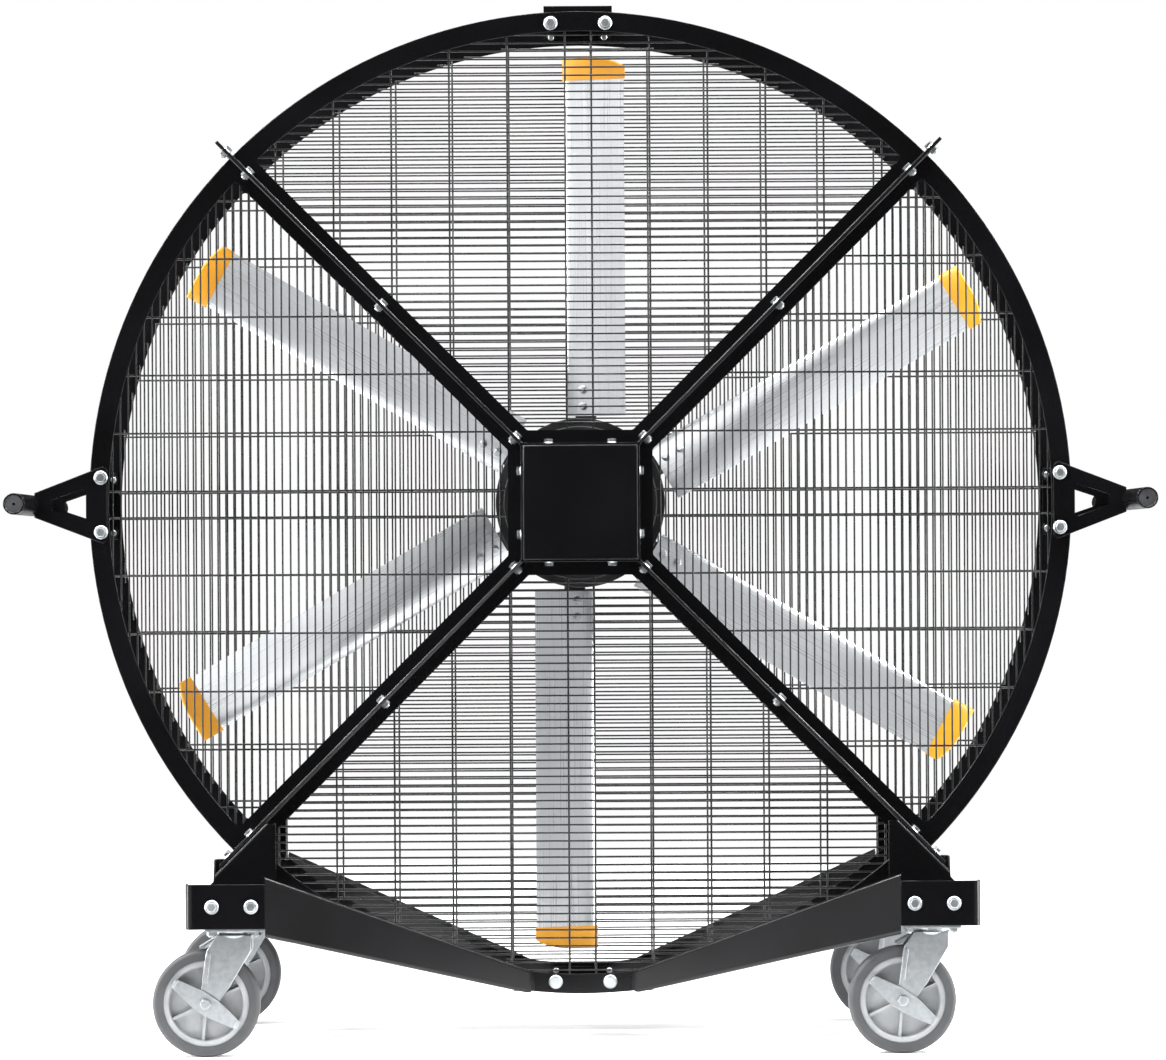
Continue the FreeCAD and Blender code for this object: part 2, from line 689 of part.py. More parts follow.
def base():
    """Trays, beams and legs of both sides."""
    right = {"tray": tray(), "beam": beam(), "gusset": gusset(), "web": leg_web()}
    for side, x in (("left", -1), ("right", 1)):
        save("base_tray_" + side, flipped(right["tray"], x, 1))
        legs = [flipped(right["gusset"], x, y) for y in (1, -1)]
        save("leg_" + side, legs + [flipped(right["web"], x, 1)])
    for end, y in (("front", 1), ("rear", -1)):
        save(end + "_beams", [flipped(right["beam"], x, y) for x in (-1, 1)])


def caster_plate():
    """Fixed half of a caster: top plate, upper race and king pin with its nut."""
    low = TRAY_Z - CASTER_PLATE
    race = low - RACE
    nut_top = race - GAP - CROWN - GAP
    shape = joined([
        block(-56, 56, -55, 55, low, TRAY_Z),
        rod(36, Vector(0, 0, race), Vector(0, 0, low)),
        rod(PIN_R, Vector(0, 0, nut_top - 10), Vector(0, 0, low)),
        rod(14, Vector(0, 0, nut_top - 8), Vector(0, 0, nut_top)),
    ])
    for dx in (-CASTER_BOLT_X, CASTER_BOLT_X):
        for dy in (-CASTER_BOLT_Y, CASTER_BOLT_Y):
            shape = shape.cut(drill(Vector(dx, dy, TRAY_Z), Vector(0, 0, 1), SPOKE_BOLT, 40))
    return shape


def caster_fork():
    """Swivelling fork with a flared crown and a tongue over the tread, its axle and its brake strap."""
    top = TRAY_Z - CASTER_PLATE - RACE - GAP
    inner = WHEEL_WIDTH / 2 + 4.0
    outer = inner + FORK_PLATE
    x = -CASTER_TRAIL
    z = WHEEL_R
    mid = z + 0.78 * (top - z)
    low = z + 0.25 * (top - z)
    outline = [(-35, top), (33, top), (33, mid), (x + 48, low)]
    outline += [(x + 16, z - 8), (x - 16, z - 8), (x - 8, low), (x + 2, mid)]
    tongue = [(-34, top), (-34, top - 4.5), (x - 7, top - 25), (x - 13, top - 26), (x - 13, top - 21)]
    pieces = [
        block(-35, 33, -outer, outer, top - CROWN, top),
        Part.makeCone(outer, outer + 5.0, CROWN, Vector(0, 0, top - CROWN)),
        slab(tongue, -18, 18),
    ]
    for y in (-outer, inner):
        pieces.append(slab(outline, y, y + FORK_PLATE))
        pieces.append(rod(18, Vector(x, y, z), Vector(x, y + FORK_PLATE, z)))
    fork = joined(pieces)
    fork = fork.cut(rod(PIN_R + RUNNING, Vector(0, 0, top - 20), Vector(0, 0, top + 20)))
    fork = fork.cut(rod(WHEEL_AXLE_R, Vector(x, -100, z), Vector(x, 100, z)))
    band = [(x - 7, low + 8), (x + 4, low + 8), (x + 12, mid - 4), (x + 1, mid - 4)]
    strap = slab(band, -outer - 4, -outer)
    lever = 4.8
    reach = outer + lever
    axle = joined([
        rod(WHEEL_AXLE_R, Vector(x, -reach, z), Vector(x, outer + 12, z)),
        turned(hexagon(19, 0, 6), 90, Vector(1, 0, 0)).translated(Vector(x, -reach, z)),
        turned(hexagon(19, 0, 9), -90, Vector(1, 0, 0)).translated(Vector(x, outer, z)),
    ])
    return [fork, axle, strap]


def wheel_core():
    """Ribbed wheel centre with a rim, turning on the fork axle."""
    half = WHEEL_WIDTH / 2
    rim = WHEEL_R - 21.0
    pieces = [
        disc(rim, rim - 12, -half + 2, half - 2),
        disc(rim - 11, 18, -5, 5),
        disc(20, WHEEL_AXLE_R + RUNNING, -half - 3.4, half + 3.4),
    ]
    for i in range(6):
        rib = block(-3, 3, -half + 7, half - 7, 18, rim - 11)
        pieces.append(turned(rib, 60 * i + 5))
    return moved(joined(pieces), -CASTER_TRAIL, 0, WHEEL_R)


def wheel_tread():
    """Rubber tread with rounded shoulders, on the rim."""
    half = WHEEL_WIDTH / 2
    ring = disc(WHEEL_R, WHEEL_R - 21.0, -half, half)
    shoulders = []
    for edge in ring.Edges:
        if isinstance(edge.Curve, Part.Circle) and abs(edge.Curve.Radius - WHEEL_R) < 0.01:
            shoulders.append(edge)
    return moved(ring.makeFillet(9.0, shoulders), -CASTER_TRAIL, 0, WHEEL_R)


def brake_lever():
    """Double-ended brake lever that rocks on the wheel axle outside the front fork leg."""
    face = -(WHEEL_WIDTH / 2 + 4.0 + FORK_PLATE) - 0.8
    end = 79.0
    outline = [(-end, 8), (-18, 20), (18, 20), (end, 8), (end, -8), (18, -20), (-18, -20), (-end, -8)]
    pieces = [round_corners(slab(outline, face - 3, face), 4.0)]
    for x in (-end + 4, end - 8):
        pieces.append(block(x, x + 4, face - 9, face, -7, 7))
    shape = joined(pieces)
    shape = shape.cut(rod(WHEEL_AXLE_R + RUNNING, Vector(0, -100, 0), Vector(0, 100, 0)))
    return moved(turned(shape, 34), -CASTER_TRAIL, 0, WHEEL_R)


def casters():
    """Four alike swivel casters, all trailing to the left as the fan stands."""
    plate = caster_plate()
    fork = caster_fork()
    core = wheel_core()
    tread = wheel_tread()
    lever = brake_lever()
    plates = []
    for name, sx, sy in CASTERS:
        x = sx * CASTER_X
        y = sy * CASTER_Y
        plates.append(moved(plate, x, y, 0))
        save("caster_fork_" + name, [moved(shape, x, y, 0) for shape in fork])
        save("wheel_core_" + name, moved(core, x, y, 0))
        save("wheel_tread_" + name, moved(tread, x, y, 0))
        save("brake_lever_" + name, moved(lever, x, y, 0))
    save("caster_plates", plates)


def bolts():
    """Every fixed bolt: rings, spokes, covers, trays, legs and casters."""
    shapes = []
    for angle, outer in ((0, 0.0), (90, BRACKET), (180, 0.0), (270, BRACKET)):
        for x in (-RING_BOLT_X, RING_BOLT_X):
            head = Vector(x, -FACE - outer, BOLT_R)
            one = bolt(head, Vector(0, 1, 0), outer + SHEET + PLATE, RING_BOLT, RING_WASHER)
            one = turned(one, angle)
            shapes.extend(raised(flipped(one, 1, y)) for y in (1, -1))
    for angle in (45, 135, 225, 315):
        for radius in SPOKE_BOLTS:
            on_leg = angle in (135, 225) and radius in SPOKE_BOLTS[2:]
            side = 1 if angle in (225, 315) else -1
            grip = 2 * SHEET + (PLATE if on_leg else 0.0)
            head = Vector(side * SHEET, -BOLT_Y, radius)
            one = turned(bolt(head, Vector(-side, 0, 0), grip, SPOKE_BOLT, SPOKE_WASHER), angle)
            shapes.extend(raised(flipped(one, 1, y)) for y in (1, -1))
    for angle in (0, 90, 180, 270):
        for x in (-COVER_BOLT_X, COVER_BOLT_X):
            head = Vector(x, -BOLT_Y, COVER_HALF + SHEET)
            one = bolt(head, Vector(0, 0, -1), SHEET + COVER_WALL, SPOKE_BOLT, SPOKE_WASHER)
            one = turned(one, angle)
            shapes.extend(raised(flipped(one, 1, y)) for y in (1, -1))
    corner = []
    for x in WALL_BOLTS:
        head = Vector(x, -BASE_HALF, WALL_BOLT_Z)
        corner.append(bolt(head, Vector(0, 1, 0), 2 * PLATE, RING_BOLT, RING_WASHER))
    for x in FOOT_BOLTS:
        head = Vector(x, -BOLT_Y - FOOT_BACK, TRAY_FLOOR + PLATE)
        corner.append(bolt(head, Vector(0, 0, -1), 2 * PLATE, SPOKE_BOLT, SPOKE_WASHER))
    for dx in (-CASTER_BOLT_X, CASTER_BOLT_X):
        for dy in (-CASTER_BOLT_Y, CASTER_BOLT_Y):
            head = Vector(CASTER_X + dx, -CASTER_Y + dy, TRAY_FLOOR)
            corner.append(bolt(head, Vector(0, 0, -1), PLATE + CASTER_PLATE, SPOKE_BOLT, SPOKE_WASHER))
    for x in (1, -1):
        for y in (1, -1):
            shapes.extend(flipped(shape, x, y) for shape in corner)
    save("frame_bolts", shapes)


cage()
bridges()
handles()
hub()
rotor()
base()
casters()
bolts()
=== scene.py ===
import math

import bmesh
import bpy
from mathutils import Matrix, Vector


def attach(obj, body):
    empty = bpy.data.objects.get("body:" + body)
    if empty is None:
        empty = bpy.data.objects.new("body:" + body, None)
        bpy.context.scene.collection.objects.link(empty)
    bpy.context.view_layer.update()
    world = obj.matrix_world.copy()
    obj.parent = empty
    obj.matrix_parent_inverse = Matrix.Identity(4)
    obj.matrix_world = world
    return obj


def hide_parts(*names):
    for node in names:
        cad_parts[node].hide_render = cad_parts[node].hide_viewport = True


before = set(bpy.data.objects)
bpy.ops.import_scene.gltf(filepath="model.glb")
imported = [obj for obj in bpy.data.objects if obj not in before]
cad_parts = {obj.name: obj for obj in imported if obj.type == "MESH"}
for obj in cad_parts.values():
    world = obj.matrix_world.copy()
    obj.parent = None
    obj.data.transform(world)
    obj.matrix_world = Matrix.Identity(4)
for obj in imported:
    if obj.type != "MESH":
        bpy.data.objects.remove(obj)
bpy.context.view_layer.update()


# Guard frames: eight quarter rings cut from 3.5 mm steel sheet, folded forward along their straight sides
# and bolted to their neighbours through the folds. Powder coat rounds their edges by about a millimetre.
def linear(text):
    """Linear colour from an sRGB hex value."""
    parts = [int(text[i:i + 2], 16) / 255 for i in (1, 3, 5)]
    return [c / 12.92 if c <= 0.04045 else ((c + 0.055) / 1.055) ** 2.4 for c in parts] + [1.0]


def add(tree, kind, inputs=(), **settings):
    """Add a node. Settings are its own options; inputs go by name or number: values, sockets or nodes."""
    node = tree.nodes.new(kind)
    for name, value in settings.items():
        setattr(node, name, value)
    for name, value in dict(inputs).items():
        if isinstance(value, bpy.types.Node):
            value = value.outputs[0]
        if isinstance(value, bpy.types.NodeSocket):
            tree.links.new(value, node.inputs[name])
        else:
            node.inputs[name].default_value = value
    return node


def new_finish(name, **fixed):
    """Material with one shader, the sockets that are the same all over it, and its object coordinates."""
    finish = bpy.data.materials.new(name)
    finish.use_nodes = True
    tree = finish.node_tree
    tree.nodes.clear()
    values = {key.replace("_", " "): value for key, value in fixed.items()}
    shader = add(tree, "ShaderNodeBsdfPrincipled", values)
    add(tree, "ShaderNodeOutputMaterial", {"Surface": shader})
    spot = add(tree, "ShaderNodeTexCoord").outputs["Object"]
    return finish, tree, shader, spot


def vary(tree, shader, spot, size, colours, roughness):
    """Cloudy change of colour and roughness over patches of a real size, given in metres."""
    cloud = add(tree, "ShaderNodeTexNoise", {"Vector": spot, "Scale": 1.0 / size, "Detail": 3.0})
    ramp = add(tree, "ShaderNodeValToRGB", {"Fac": cloud})
    for stop, where, colour in zip(ramp.color_ramp.elements, (0.32, 0.68), colours):
        stop.position = where
        stop.color = linear(colour)
    tree.links.new(ramp.outputs[0], shader.inputs["Base Color"])
    smoothest, roughest = roughness
    gloss = add(tree, "ShaderNodeMapRange", {
        "Value": cloud, "From Min": 0.3, "From Max": 0.7, "To Min": smoothest, "To Max": roughest})
    tree.links.new(gloss.outputs[0], shader.inputs["Roughness"])


def grain(tree, shader, spot, size, depth, strength):
    """Fine surface relief from bumps of a real size and depth, given in metres."""
    bumps = add(tree, "ShaderNodeTexNoise", {"Vector": spot, "Scale": 1.0 / size, "Detail": 2.0})
    relief = add(tree, "ShaderNodeBump", {"Strength": strength, "Distance": depth, "Height": bumps})
    tree.links.new(relief.outputs[0], shader.inputs["Normal"])


# Polyester powder coat, sprayed and baked: satin black with the faint orange peel of the melt.
# Real peel is about 1.5 mm across; it is drawn at 5 mm so that it shows. Its IOR is matched down
# from the 1.5 of polyester, because the sheet mirrors the room only weakly.
powder_coat, tree, shader, spot = new_finish("satin_black_powder_coat", IOR=1.36)
vary(tree, shader, spot, 0.22, ("#0a0a0b", "#0f0f11"), (0.16, 0.22))
grain(tree, shader, spot, 0.005, 0.0002, 0.12)


def smooth(mesh, angle):
    """Shade round faces smooth and keep edges above an angle sharp."""
    for face in mesh.polygons:
        face.use_smooth = True
    mesh.set_sharp_from_angle(angle=math.radians(angle))


def place(name, mesh, finish, body, nodes):
    """Put a finished mesh into the scene: its finish, the body it rides on, and the solids it stands for."""
    piece = bpy.data.objects.new(name, mesh)
    bpy.context.collection.objects.link(piece)
    if not mesh.materials:
        mesh.materials.append(finish)
    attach(piece, body)
    if nodes:
        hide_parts(*nodes)
    return piece


# In degrees: facets within FLAT are one face, and a bend past FOLD is a cut or folded edge.
FLAT = 0.4
FOLD = 32.0


def merged(node):
    """Solid of a node with its facets merged into whole faces."""
    bm = bmesh.new()
    bm.from_mesh(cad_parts[node].data)
    bmesh.ops.remove_doubles(bm, verts=bm.verts, dist=2e-6)
    bmesh.ops.dissolve_limit(bm, angle_limit=math.radians(FLAT), verts=bm.verts, edges=bm.edges)
    return bm


def coated(node, finish, width, body):
    """Piece made from its solid, with every long edge rounded to a width as coating or casting leaves it."""
    bm = merged(node)
    weight = bm.edges.layers.float.new("bevel_weight_edge")
    for edge in bm.edges:
        if len(edge.link_faces) == 2 and edge.calc_length() > 5.0 * width:
            edge[weight] = float(edge.calc_face_angle() > math.radians(FOLD))
    mesh = bpy.data.meshes.new(node + "_coated")
    bm.to_mesh(mesh)
    bm.free()
    smooth(mesh, FOLD)
    piece = place(node + "_coated", mesh, finish, body, [node])
    rounding = piece.modifiers.new("edge", "BEVEL")
    rounding.width = width
    rounding.segments = 3
    rounding.limit_method = "WEIGHT"
    rounding.use_clamp_overlap = False
    evening = piece.modifiers.new("flat", "WEIGHTED_NORMAL")
    evening.keep_sharp = True


for end in ("front", "rear"):
    for quarter in ("top", "right", "bottom", "left"):
        coated(end + "_frame_" + quarter, powder_coat, 0.0015, "cage")


# Guard wires: drawn steel wire, close ones welded to the back of each frame and support ones behind them,
# coated black with the frame. One quarter is laid out by rule and repeated around the rotor axis.
HUB = 1.092
wire_tree = bpy.data.node_groups.new("guard_wires", "GeometryNodeTree")
wire_inputs = {}
for label, kind in (
    ("Wire Diameter", "Float"), ("Pitch", "Float"), ("First Height", "Float"), ("Wire Count", "Int"),
    ("Wire Plane", "Float"), ("Support Diameter", "Float"), ("Support Pitch", "Float"),
    ("First Support", "Float"), ("Support Count", "Int"), ("Support Plane", "Float"),
    ("Lowest End", "Float"), ("Weld Side", "Float"), ("End Radius", "Float"),
    ("Hub Height", "Float"), ("Finish", "Material"),
):
    socket = wire_tree.interface.new_socket(name=label, in_out="INPUT", socket_type="NodeSocket" + kind)
    wire_inputs[label] = socket.identifier
wire_tree.interface.new_socket(name="Geometry", in_out="OUTPUT", socket_type="NodeSocketGeometry")
given = add(wire_tree, "NodeGroupInput").outputs

rod_mesh = add(wire_tree, "GeometryNodeMeshCylinder", {
    "Vertices": 8, "Radius": 1.0, "Depth": 1.0}, fill_type="NGON")
lying = add(wire_tree, "GeometryNodeTransform", {"Geometry": rod_mesh, "Rotation": (0, math.pi / 2, 0)})

# Close wires lie across the quarter, each as long as the welds on the legs or the ring allow at its height.
start = add(wire_tree, "ShaderNodeCombineXYZ", {1: given["Wire Plane"], 2: given["First Height"]})
rise = add(wire_tree, "ShaderNodeCombineXYZ", {2: given["Pitch"]})
rows = add(wire_tree, "GeometryNodeMeshLine", {
    "Count": given["Wire Count"], "Start Location": start, "Offset": rise})
axes = add(wire_tree, "ShaderNodeSeparateXYZ", {0: add(wire_tree, "GeometryNodeInputPosition")}).outputs
reach = add(wire_tree, "ShaderNodeMath", {0: given["End Radius"], 1: 2.0}, operation="POWER")
to_weld = add(wire_tree, "ShaderNodeMath", {0: axes[2], 1: given["Weld Side"]}, operation="SUBTRACT")
height_square = add(wire_tree, "ShaderNodeMath", {0: axes[2], 1: 2.0}, operation="POWER")
chord_square = add(wire_tree, "ShaderNodeMath", {0: reach, 1: height_square}, operation="SUBTRACT")
to_ring = add(wire_tree, "ShaderNodeMath", {0: chord_square}, operation="SQRT")
half_wire = add(wire_tree, "ShaderNodeMath", {0: to_weld, 1: to_ring}, operation="MINIMUM")
wire_length = add(wire_tree, "ShaderNodeMath", {0: half_wire, 1: 2.0}, operation="MULTIPLY")
wire_radius = add(wire_tree, "ShaderNodeMath", {0: given["Wire Diameter"], 1: 0.5}, operation="MULTIPLY")
wire_size = add(wire_tree, "ShaderNodeCombineXYZ", {0: wire_length, 1: wire_radius, 2: wire_radius})
close_wires = add(wire_tree, "GeometryNodeInstanceOnPoints", {
    "Points": rows, "Instance": lying, "Scale": wire_size})

# Support wires run outwards, in two like rows beside the middle, from the legs to the ring.
begin = add(wire_tree, "ShaderNodeCombineXYZ", {0: given["First Support"], 1: given["Support Plane"]})
along = add(wire_tree, "ShaderNodeCombineXYZ", {0: given["Support Pitch"]})
half_row = add(wire_tree, "GeometryNodeMeshLine", {
    "Count": given["Support Count"], "Start Location": begin, "Offset": along})
other_row = add(wire_tree, "GeometryNodeTransform", {"Geometry": half_row, "Scale": (-1, 1, 1)})
both = add(wire_tree, "GeometryNodeJoinGeometry")
for row in (half_row, other_row):
    wire_tree.links.new(row.outputs[0], both.inputs[0])
across = add(wire_tree, "ShaderNodeMath", {0: axes[0]}, operation="ABSOLUTE")
weld_height = add(wire_tree, "ShaderNodeMath", {0: across, 1: given["Weld Side"]}, operation="ADD")
low = add(wire_tree, "ShaderNodeMath", {0: given["Lowest End"], 1: weld_height}, operation="MAXIMUM")
across_square = add(wire_tree, "ShaderNodeMath", {0: across, 1: 2.0}, operation="POWER")
high_square = add(wire_tree, "ShaderNodeMath", {0: reach, 1: across_square}, operation="SUBTRACT")
high = add(wire_tree, "ShaderNodeMath", {0: high_square}, operation="SQRT")
both_heights = add(wire_tree, "ShaderNodeMath", {0: low, 1: high}, operation="ADD")
middle = add(wire_tree, "ShaderNodeMath", {0: both_heights, 1: 0.5}, operation="MULTIPLY")
lift = add(wire_tree, "ShaderNodeCombineXYZ", {2: middle})
support_length = add(wire_tree, "ShaderNodeMath", {0: high, 1: low}, operation="SUBTRACT")
support_radius = add(wire_tree, "ShaderNodeMath", {0: given["Support Diameter"], 1: 0.5}, operation="MULTIPLY")
support_size = add(wire_tree, "ShaderNodeCombineXYZ", {0: support_radius, 1: support_radius, 2: support_length})
support_wires = add(wire_tree, "GeometryNodeInstanceOnPoints", {
    "Points": both, "Instance": rod_mesh, "Scale": support_size})
raised = add(wire_tree, "GeometryNodeTranslateInstances", {
    "Instances": support_wires, "Translation": lift, "Local Space": False})

# The quarter is set around the hub four times.
one_quarter = add(wire_tree, "GeometryNodeJoinGeometry")
for wires in (close_wires, raised):
    wire_tree.links.new(wires.outputs[0], one_quarter.inputs[0])
hub_point = add(wire_tree, "ShaderNodeCombineXYZ", {2: given["Hub Height"]})
four = add(wire_tree, "GeometryNodeMeshLine", {"Count": 4, "Start Location": hub_point, "Offset": (0, 0, 0)})
index = add(wire_tree, "GeometryNodeInputIndex")
turn = add(wire_tree, "ShaderNodeMath", {0: index, 1: math.pi / 2}, operation="MULTIPLY")
spin = add(wire_tree, "ShaderNodeCombineXYZ", {1: turn})
around = add(wire_tree, "GeometryNodeInstanceOnPoints", {
    "Points": four, "Instance": one_quarter, "Rotation": spin})
real = add(wire_tree, "GeometryNodeRealizeInstances", {"Geometry": around})
painted = add(wire_tree, "GeometryNodeSetMaterial", {"Geometry": real, "Material": given["Finish"]})
add(wire_tree, "NodeGroupOutput", {0: painted})


def grown(name, tree, inputs, values, mesh=None):
    """Plain mesh from a node tree, with its named inputs set."""
    seed = bpy.data.objects.new(name + "_seed", mesh or bpy.data.meshes.new(name + "_seed"))
    bpy.context.collection.objects.link(seed)
    maker = seed.modifiers.new("maker", "NODES")
    maker.node_group = tree
    for label, value in values.items():
        maker[inputs[label]] = value
    ready = seed.evaluated_get(bpy.context.evaluated_depsgraph_get())
    result = bpy.data.meshes.new_from_object(ready)
    seed.modifiers.remove(maker)
    bpy.data.objects.remove(seed)
    result.name = name
    return result


# Coated wire has the same powder as the frames, drawn thin and a little rougher on the round.
wire_coat, tree, shader, spot = new_finish("gloss_black_powder_coat_on_wire", IOR=1.5)
vary(tree, shader, spot, 0.09, ("#08080a", "#0e0e10"), (0.24, 0.32))
grain(tree, shader, spot, 0.004, 0.00015, 0.12)

for end, side in (("front", -1), ("rear", 1)):
    mesh = grown(end + "_guard_wires", wire_tree, wire_inputs, {
        "Wire Diameter": 0.0035, "Pitch": 0.01628, "First Height": 0.1613, "Wire Count": 49,
        "Wire Plane": side * 0.14475, "Support Diameter": 0.004, "Support Pitch": 0.117,
        "First Support": 0.0265, "Support Count": 6, "Support Plane": side * 0.14125,
        "Lowest End": 0.150, "Weld Side": 0.016 * math.sqrt(2), "End Radius": 0.956,
        "Hub Height": HUB, "Finish": wire_coat})
    smooth(mesh, 60)
    place(end + "_guard_wires", mesh, wire_coat, "cage", [end + "_grille"])


# Bridges, brackets, motor plates and covers: pressed and folded steel plate under the same powder coat.
# The hub cover is a bare square pan with soft edges, and the rear box is a deeper pan of the same size.
for node in ("ring_bridges", "handle_brackets", "motor_mounts"):
    coated(node, powder_coat, 0.0012, "cage")
for node in ("front_cover", "rear_box"):
    coated(node, powder_coat, 0.0015, "cage")


# Handle bars: 42 mm steel tube along both sides, coated black, welded into the notches of the brackets.
# Each end is closed by a pressed-in plug with a recessed face and a drain hole.
def lathe(name, profile, centre, steps):
    """Mesh turned around Y from a closed profile of (radius, place along the axis) points."""
    bm = bmesh.new()
    rings = []
    for radius, along_axis in profile:
        ring = []
        for i in range(steps):
            angle = 2 * math.pi * i / steps
            local = (radius * math.cos(angle), along_axis, -radius * math.sin(angle))
            ring.append(bm.verts.new(Vector(centre) + Vector(local)))
        rings.append(ring)
    for first, second in zip(rings, rings[1:] + rings[:1]):
        for i in range(steps):
            j = (i + 1) % steps
            bm.faces.new((first[i], first[j], second[j], second[i]))
    bmesh.ops.recalc_face_normals(bm, faces=bm.faces)
    mesh = bpy.data.meshes.new(name)
    bm.to_mesh(mesh)
    bm.free()
    smooth(mesh, 40)
    return mesh


def arc(radius, along_axis, round_r, start, stop, count=4):
    """Points of a rounded corner on a turned profile, around a centre."""
    points = []
    for i in range(count + 1):
        angle = math.radians(start + (stop - start) * i / count)
        points.append((radius + round_r * math.cos(angle), along_axis + round_r * math.sin(angle)))
    return points


# Plug plastic: moulded polyethylene, matt grey with a fine spark texture, drawn at 2 mm.
plug_plastic, tree, shader, spot = new_finish("moulded_grey_polyethylene", IOR=1.5)
vary(tree, shader, spot, 0.03, ("#3f4043", "#505154"), (0.4, 0.52))
grain(tree, shader, spot, 0.002, 0.0001, 0.2)

BAR_X = 1.111
BAR_R = 0.0212
BAR_BORE = 0.0182
BAR_END = 0.432
CHAMFER = 0.001
PLUG_R = 0.0172
PLUG_DEEP = 0.022
PLUG_FACE = 0.0014
DRAIN_R = 0.0028
tube = [(BAR_R, -BAR_END + CHAMFER), (BAR_R, BAR_END - CHAMFER), (BAR_R - CHAMFER, BAR_END),
        (BAR_BORE, BAR_END), (BAR_BORE, -BAR_END), (BAR_R - CHAMFER, -BAR_END)]
for side, x in (("left", -BAR_X), ("right", BAR_X)):
    mesh = lathe("handle_tube_" + side, tube, (x, 0, HUB), 56)
    place("handle_tube_" + side, mesh, powder_coat, "cage", ["handle_bar_" + side])
plug = [(DRAIN_R, 0.0006), (0.0036, PLUG_FACE), (PLUG_R, PLUG_FACE), (PLUG_R, -PLUG_DEEP), (DRAIN_R, -PLUG_DEEP)]
rim = [(PLUG_R, 0.0), (PLUG_R, 0.0024), (0.0178, 0.003)]
rim += arc(0.0197, 0.0015, 0.0015, 90, 0) + [(BAR_R, 0.0)]
plug_meshes = []
rim_meshes = []
for x in (-BAR_X, BAR_X):
    for sign in (-1, 1):
        for outline, meshes in ((plug, plug_meshes), (rim, rim_meshes)):
            profile = [(radius, sign * (BAR_END + out)) for radius, out in outline]
            meshes.append(lathe("plug", profile, (x, 0, HUB), 48))


def joined(name, meshes):
    """One mesh from several."""
    bm = bmesh.new()
    whole = bpy.data.meshes.new(name)
    for mesh in meshes:
        count = len(bm.faces)
        bm.from_mesh(mesh)
        bm.faces.ensure_lookup_table()
        for finish in mesh.materials:
            if finish and finish.name not in whole.materials:
                whole.materials.append(finish)
        for face in bm.faces[count:]:
            worn = mesh.materials[face.material_index] if mesh.materials else None
            face.material_index = whole.materials.find(worn.name) if worn else 0
    bm.to_mesh(whole)
    bm.free()
    return whole


plugs = joined("bar_end_plugs", plug_meshes)
place("bar_end_plugs", plugs, plug_plastic, "cage", ["handle_plugs"])
rims = joined("bar_end_rims", rim_meshes)
place("bar_end_rims", rims, powder_coat, "cage", [])


# Motor: a fixed axle with laminated stator, seen only through the guard, inside an outer rotor drum.
# The drum and its cover are cast aluminium, blasted and coated black, with six bolted blade arms.
cast_black, tree, shader, spot = new_finish("black_coated_cast_aluminium", IOR=1.5)
vary(tree, shader, spot, 0.05, ("#1a1a1c", "#2a2a2d"), (0.42, 0.55))
grain(tree, shader, spot, 0.004, 0.0003, 0.35)
for node in ("rotor_drum", "rotor_cover"):
    coated(node, cast_black, 0.0015, "rotor")

# Ground steel: bright grey with a fine lay of grinding marks.
ground_steel, tree, shader, spot = new_finish("ground_steel", Metallic=1.0)
vary(tree, shader, spot, 0.02, ("#8f9093", "#a9abae"), (0.3, 0.42))
grain(tree, shader, spot, 0.002, 0.00005, 0.15)
for node, body in (("motor_axle", "cage"), ("stator", "cage"), ("magnet_ring", "rotor"), ("bearings", "rotor")):
    coated(node, ground_steel, 0.0008, body)

# Moulded black nylon for the drive case, the gland and the knob: low gloss, fine grain drawn at 2 mm.
black_nylon, tree, shader, spot = new_finish("moulded_black_nylon", IOR=1.52)
vary(tree, shader, spot, 0.03, ("#19191b", "#232326"), (0.45, 0.6))
grain(tree, shader, spot, 0.002, 0.0001, 0.25)
coated("motor_drive", black_nylon, 0.002, "cage")
coated("cable_gland", black_nylon, 0.0008, "cage")
coated("speed_knob", black_nylon, 0.001, "knob")


# Blades: six hollow aluminium extrusions with a cambered airfoil section, cut square and left in the
# satin mill finish. Faint die lines run along each blade from root to tip.
blade_metal, tree, shader, spot = new_finish("mill_finish_extruded_aluminium", Metallic=1.0)
lines_uv = add(tree, "ShaderNodeUVMap", uv_map="section")
# Die lines are about 1 mm apart and a third of a metre long; they are drawn 2 mm apart.
stretch = add(tree, "ShaderNodeMapping", {"Vector": lines_uv, "Scale": (500.0, 3.0, 1.0)})
die_lines = add(tree, "ShaderNodeTexNoise", {"Vector": stretch, "Scale": 1.0, "Detail": 3.0})
ramp = add(tree, "ShaderNodeValToRGB", {"Fac": die_lines})
for stop, position, colour in zip(ramp.color_ramp.elements, (0.3, 0.7), ("#cccfd2", "#d7d9dc")):
    stop.position = position
    stop.color = linear(colour)
tree.links.new(ramp.outputs[0], shader.inputs["Base Color"])
gloss = add(tree, "ShaderNodeMapRange", {
    "Value": die_lines, "From Min": 0.3, "From Max": 0.7, "To Min": 0.26, "To Max": 0.34})
tree.links.new(gloss.outputs[0], shader.inputs["Roughness"])
relief = add(tree, "ShaderNodeBump", {"Strength": 0.05, "Distance": 0.0001, "Height": die_lines})
tree.links.new(relief.outputs[0], shader.inputs["Normal"])

LEAD = 0.031
TRAIL = 0.101
THICK = 0.018
CAMBER = 0.03 * (LEAD + TRAIL)
PITCH = math.radians(23.0)
ROOT_R = 0.178
TIP_R = 0.910
BLADE_END = TIP_R - 0.032
# Places along the chord as shares of it, closer together at the nose and the tail.
SHARES = [0.5 * (1.0 - math.cos(math.pi * i / 18)) for i in range(19)]


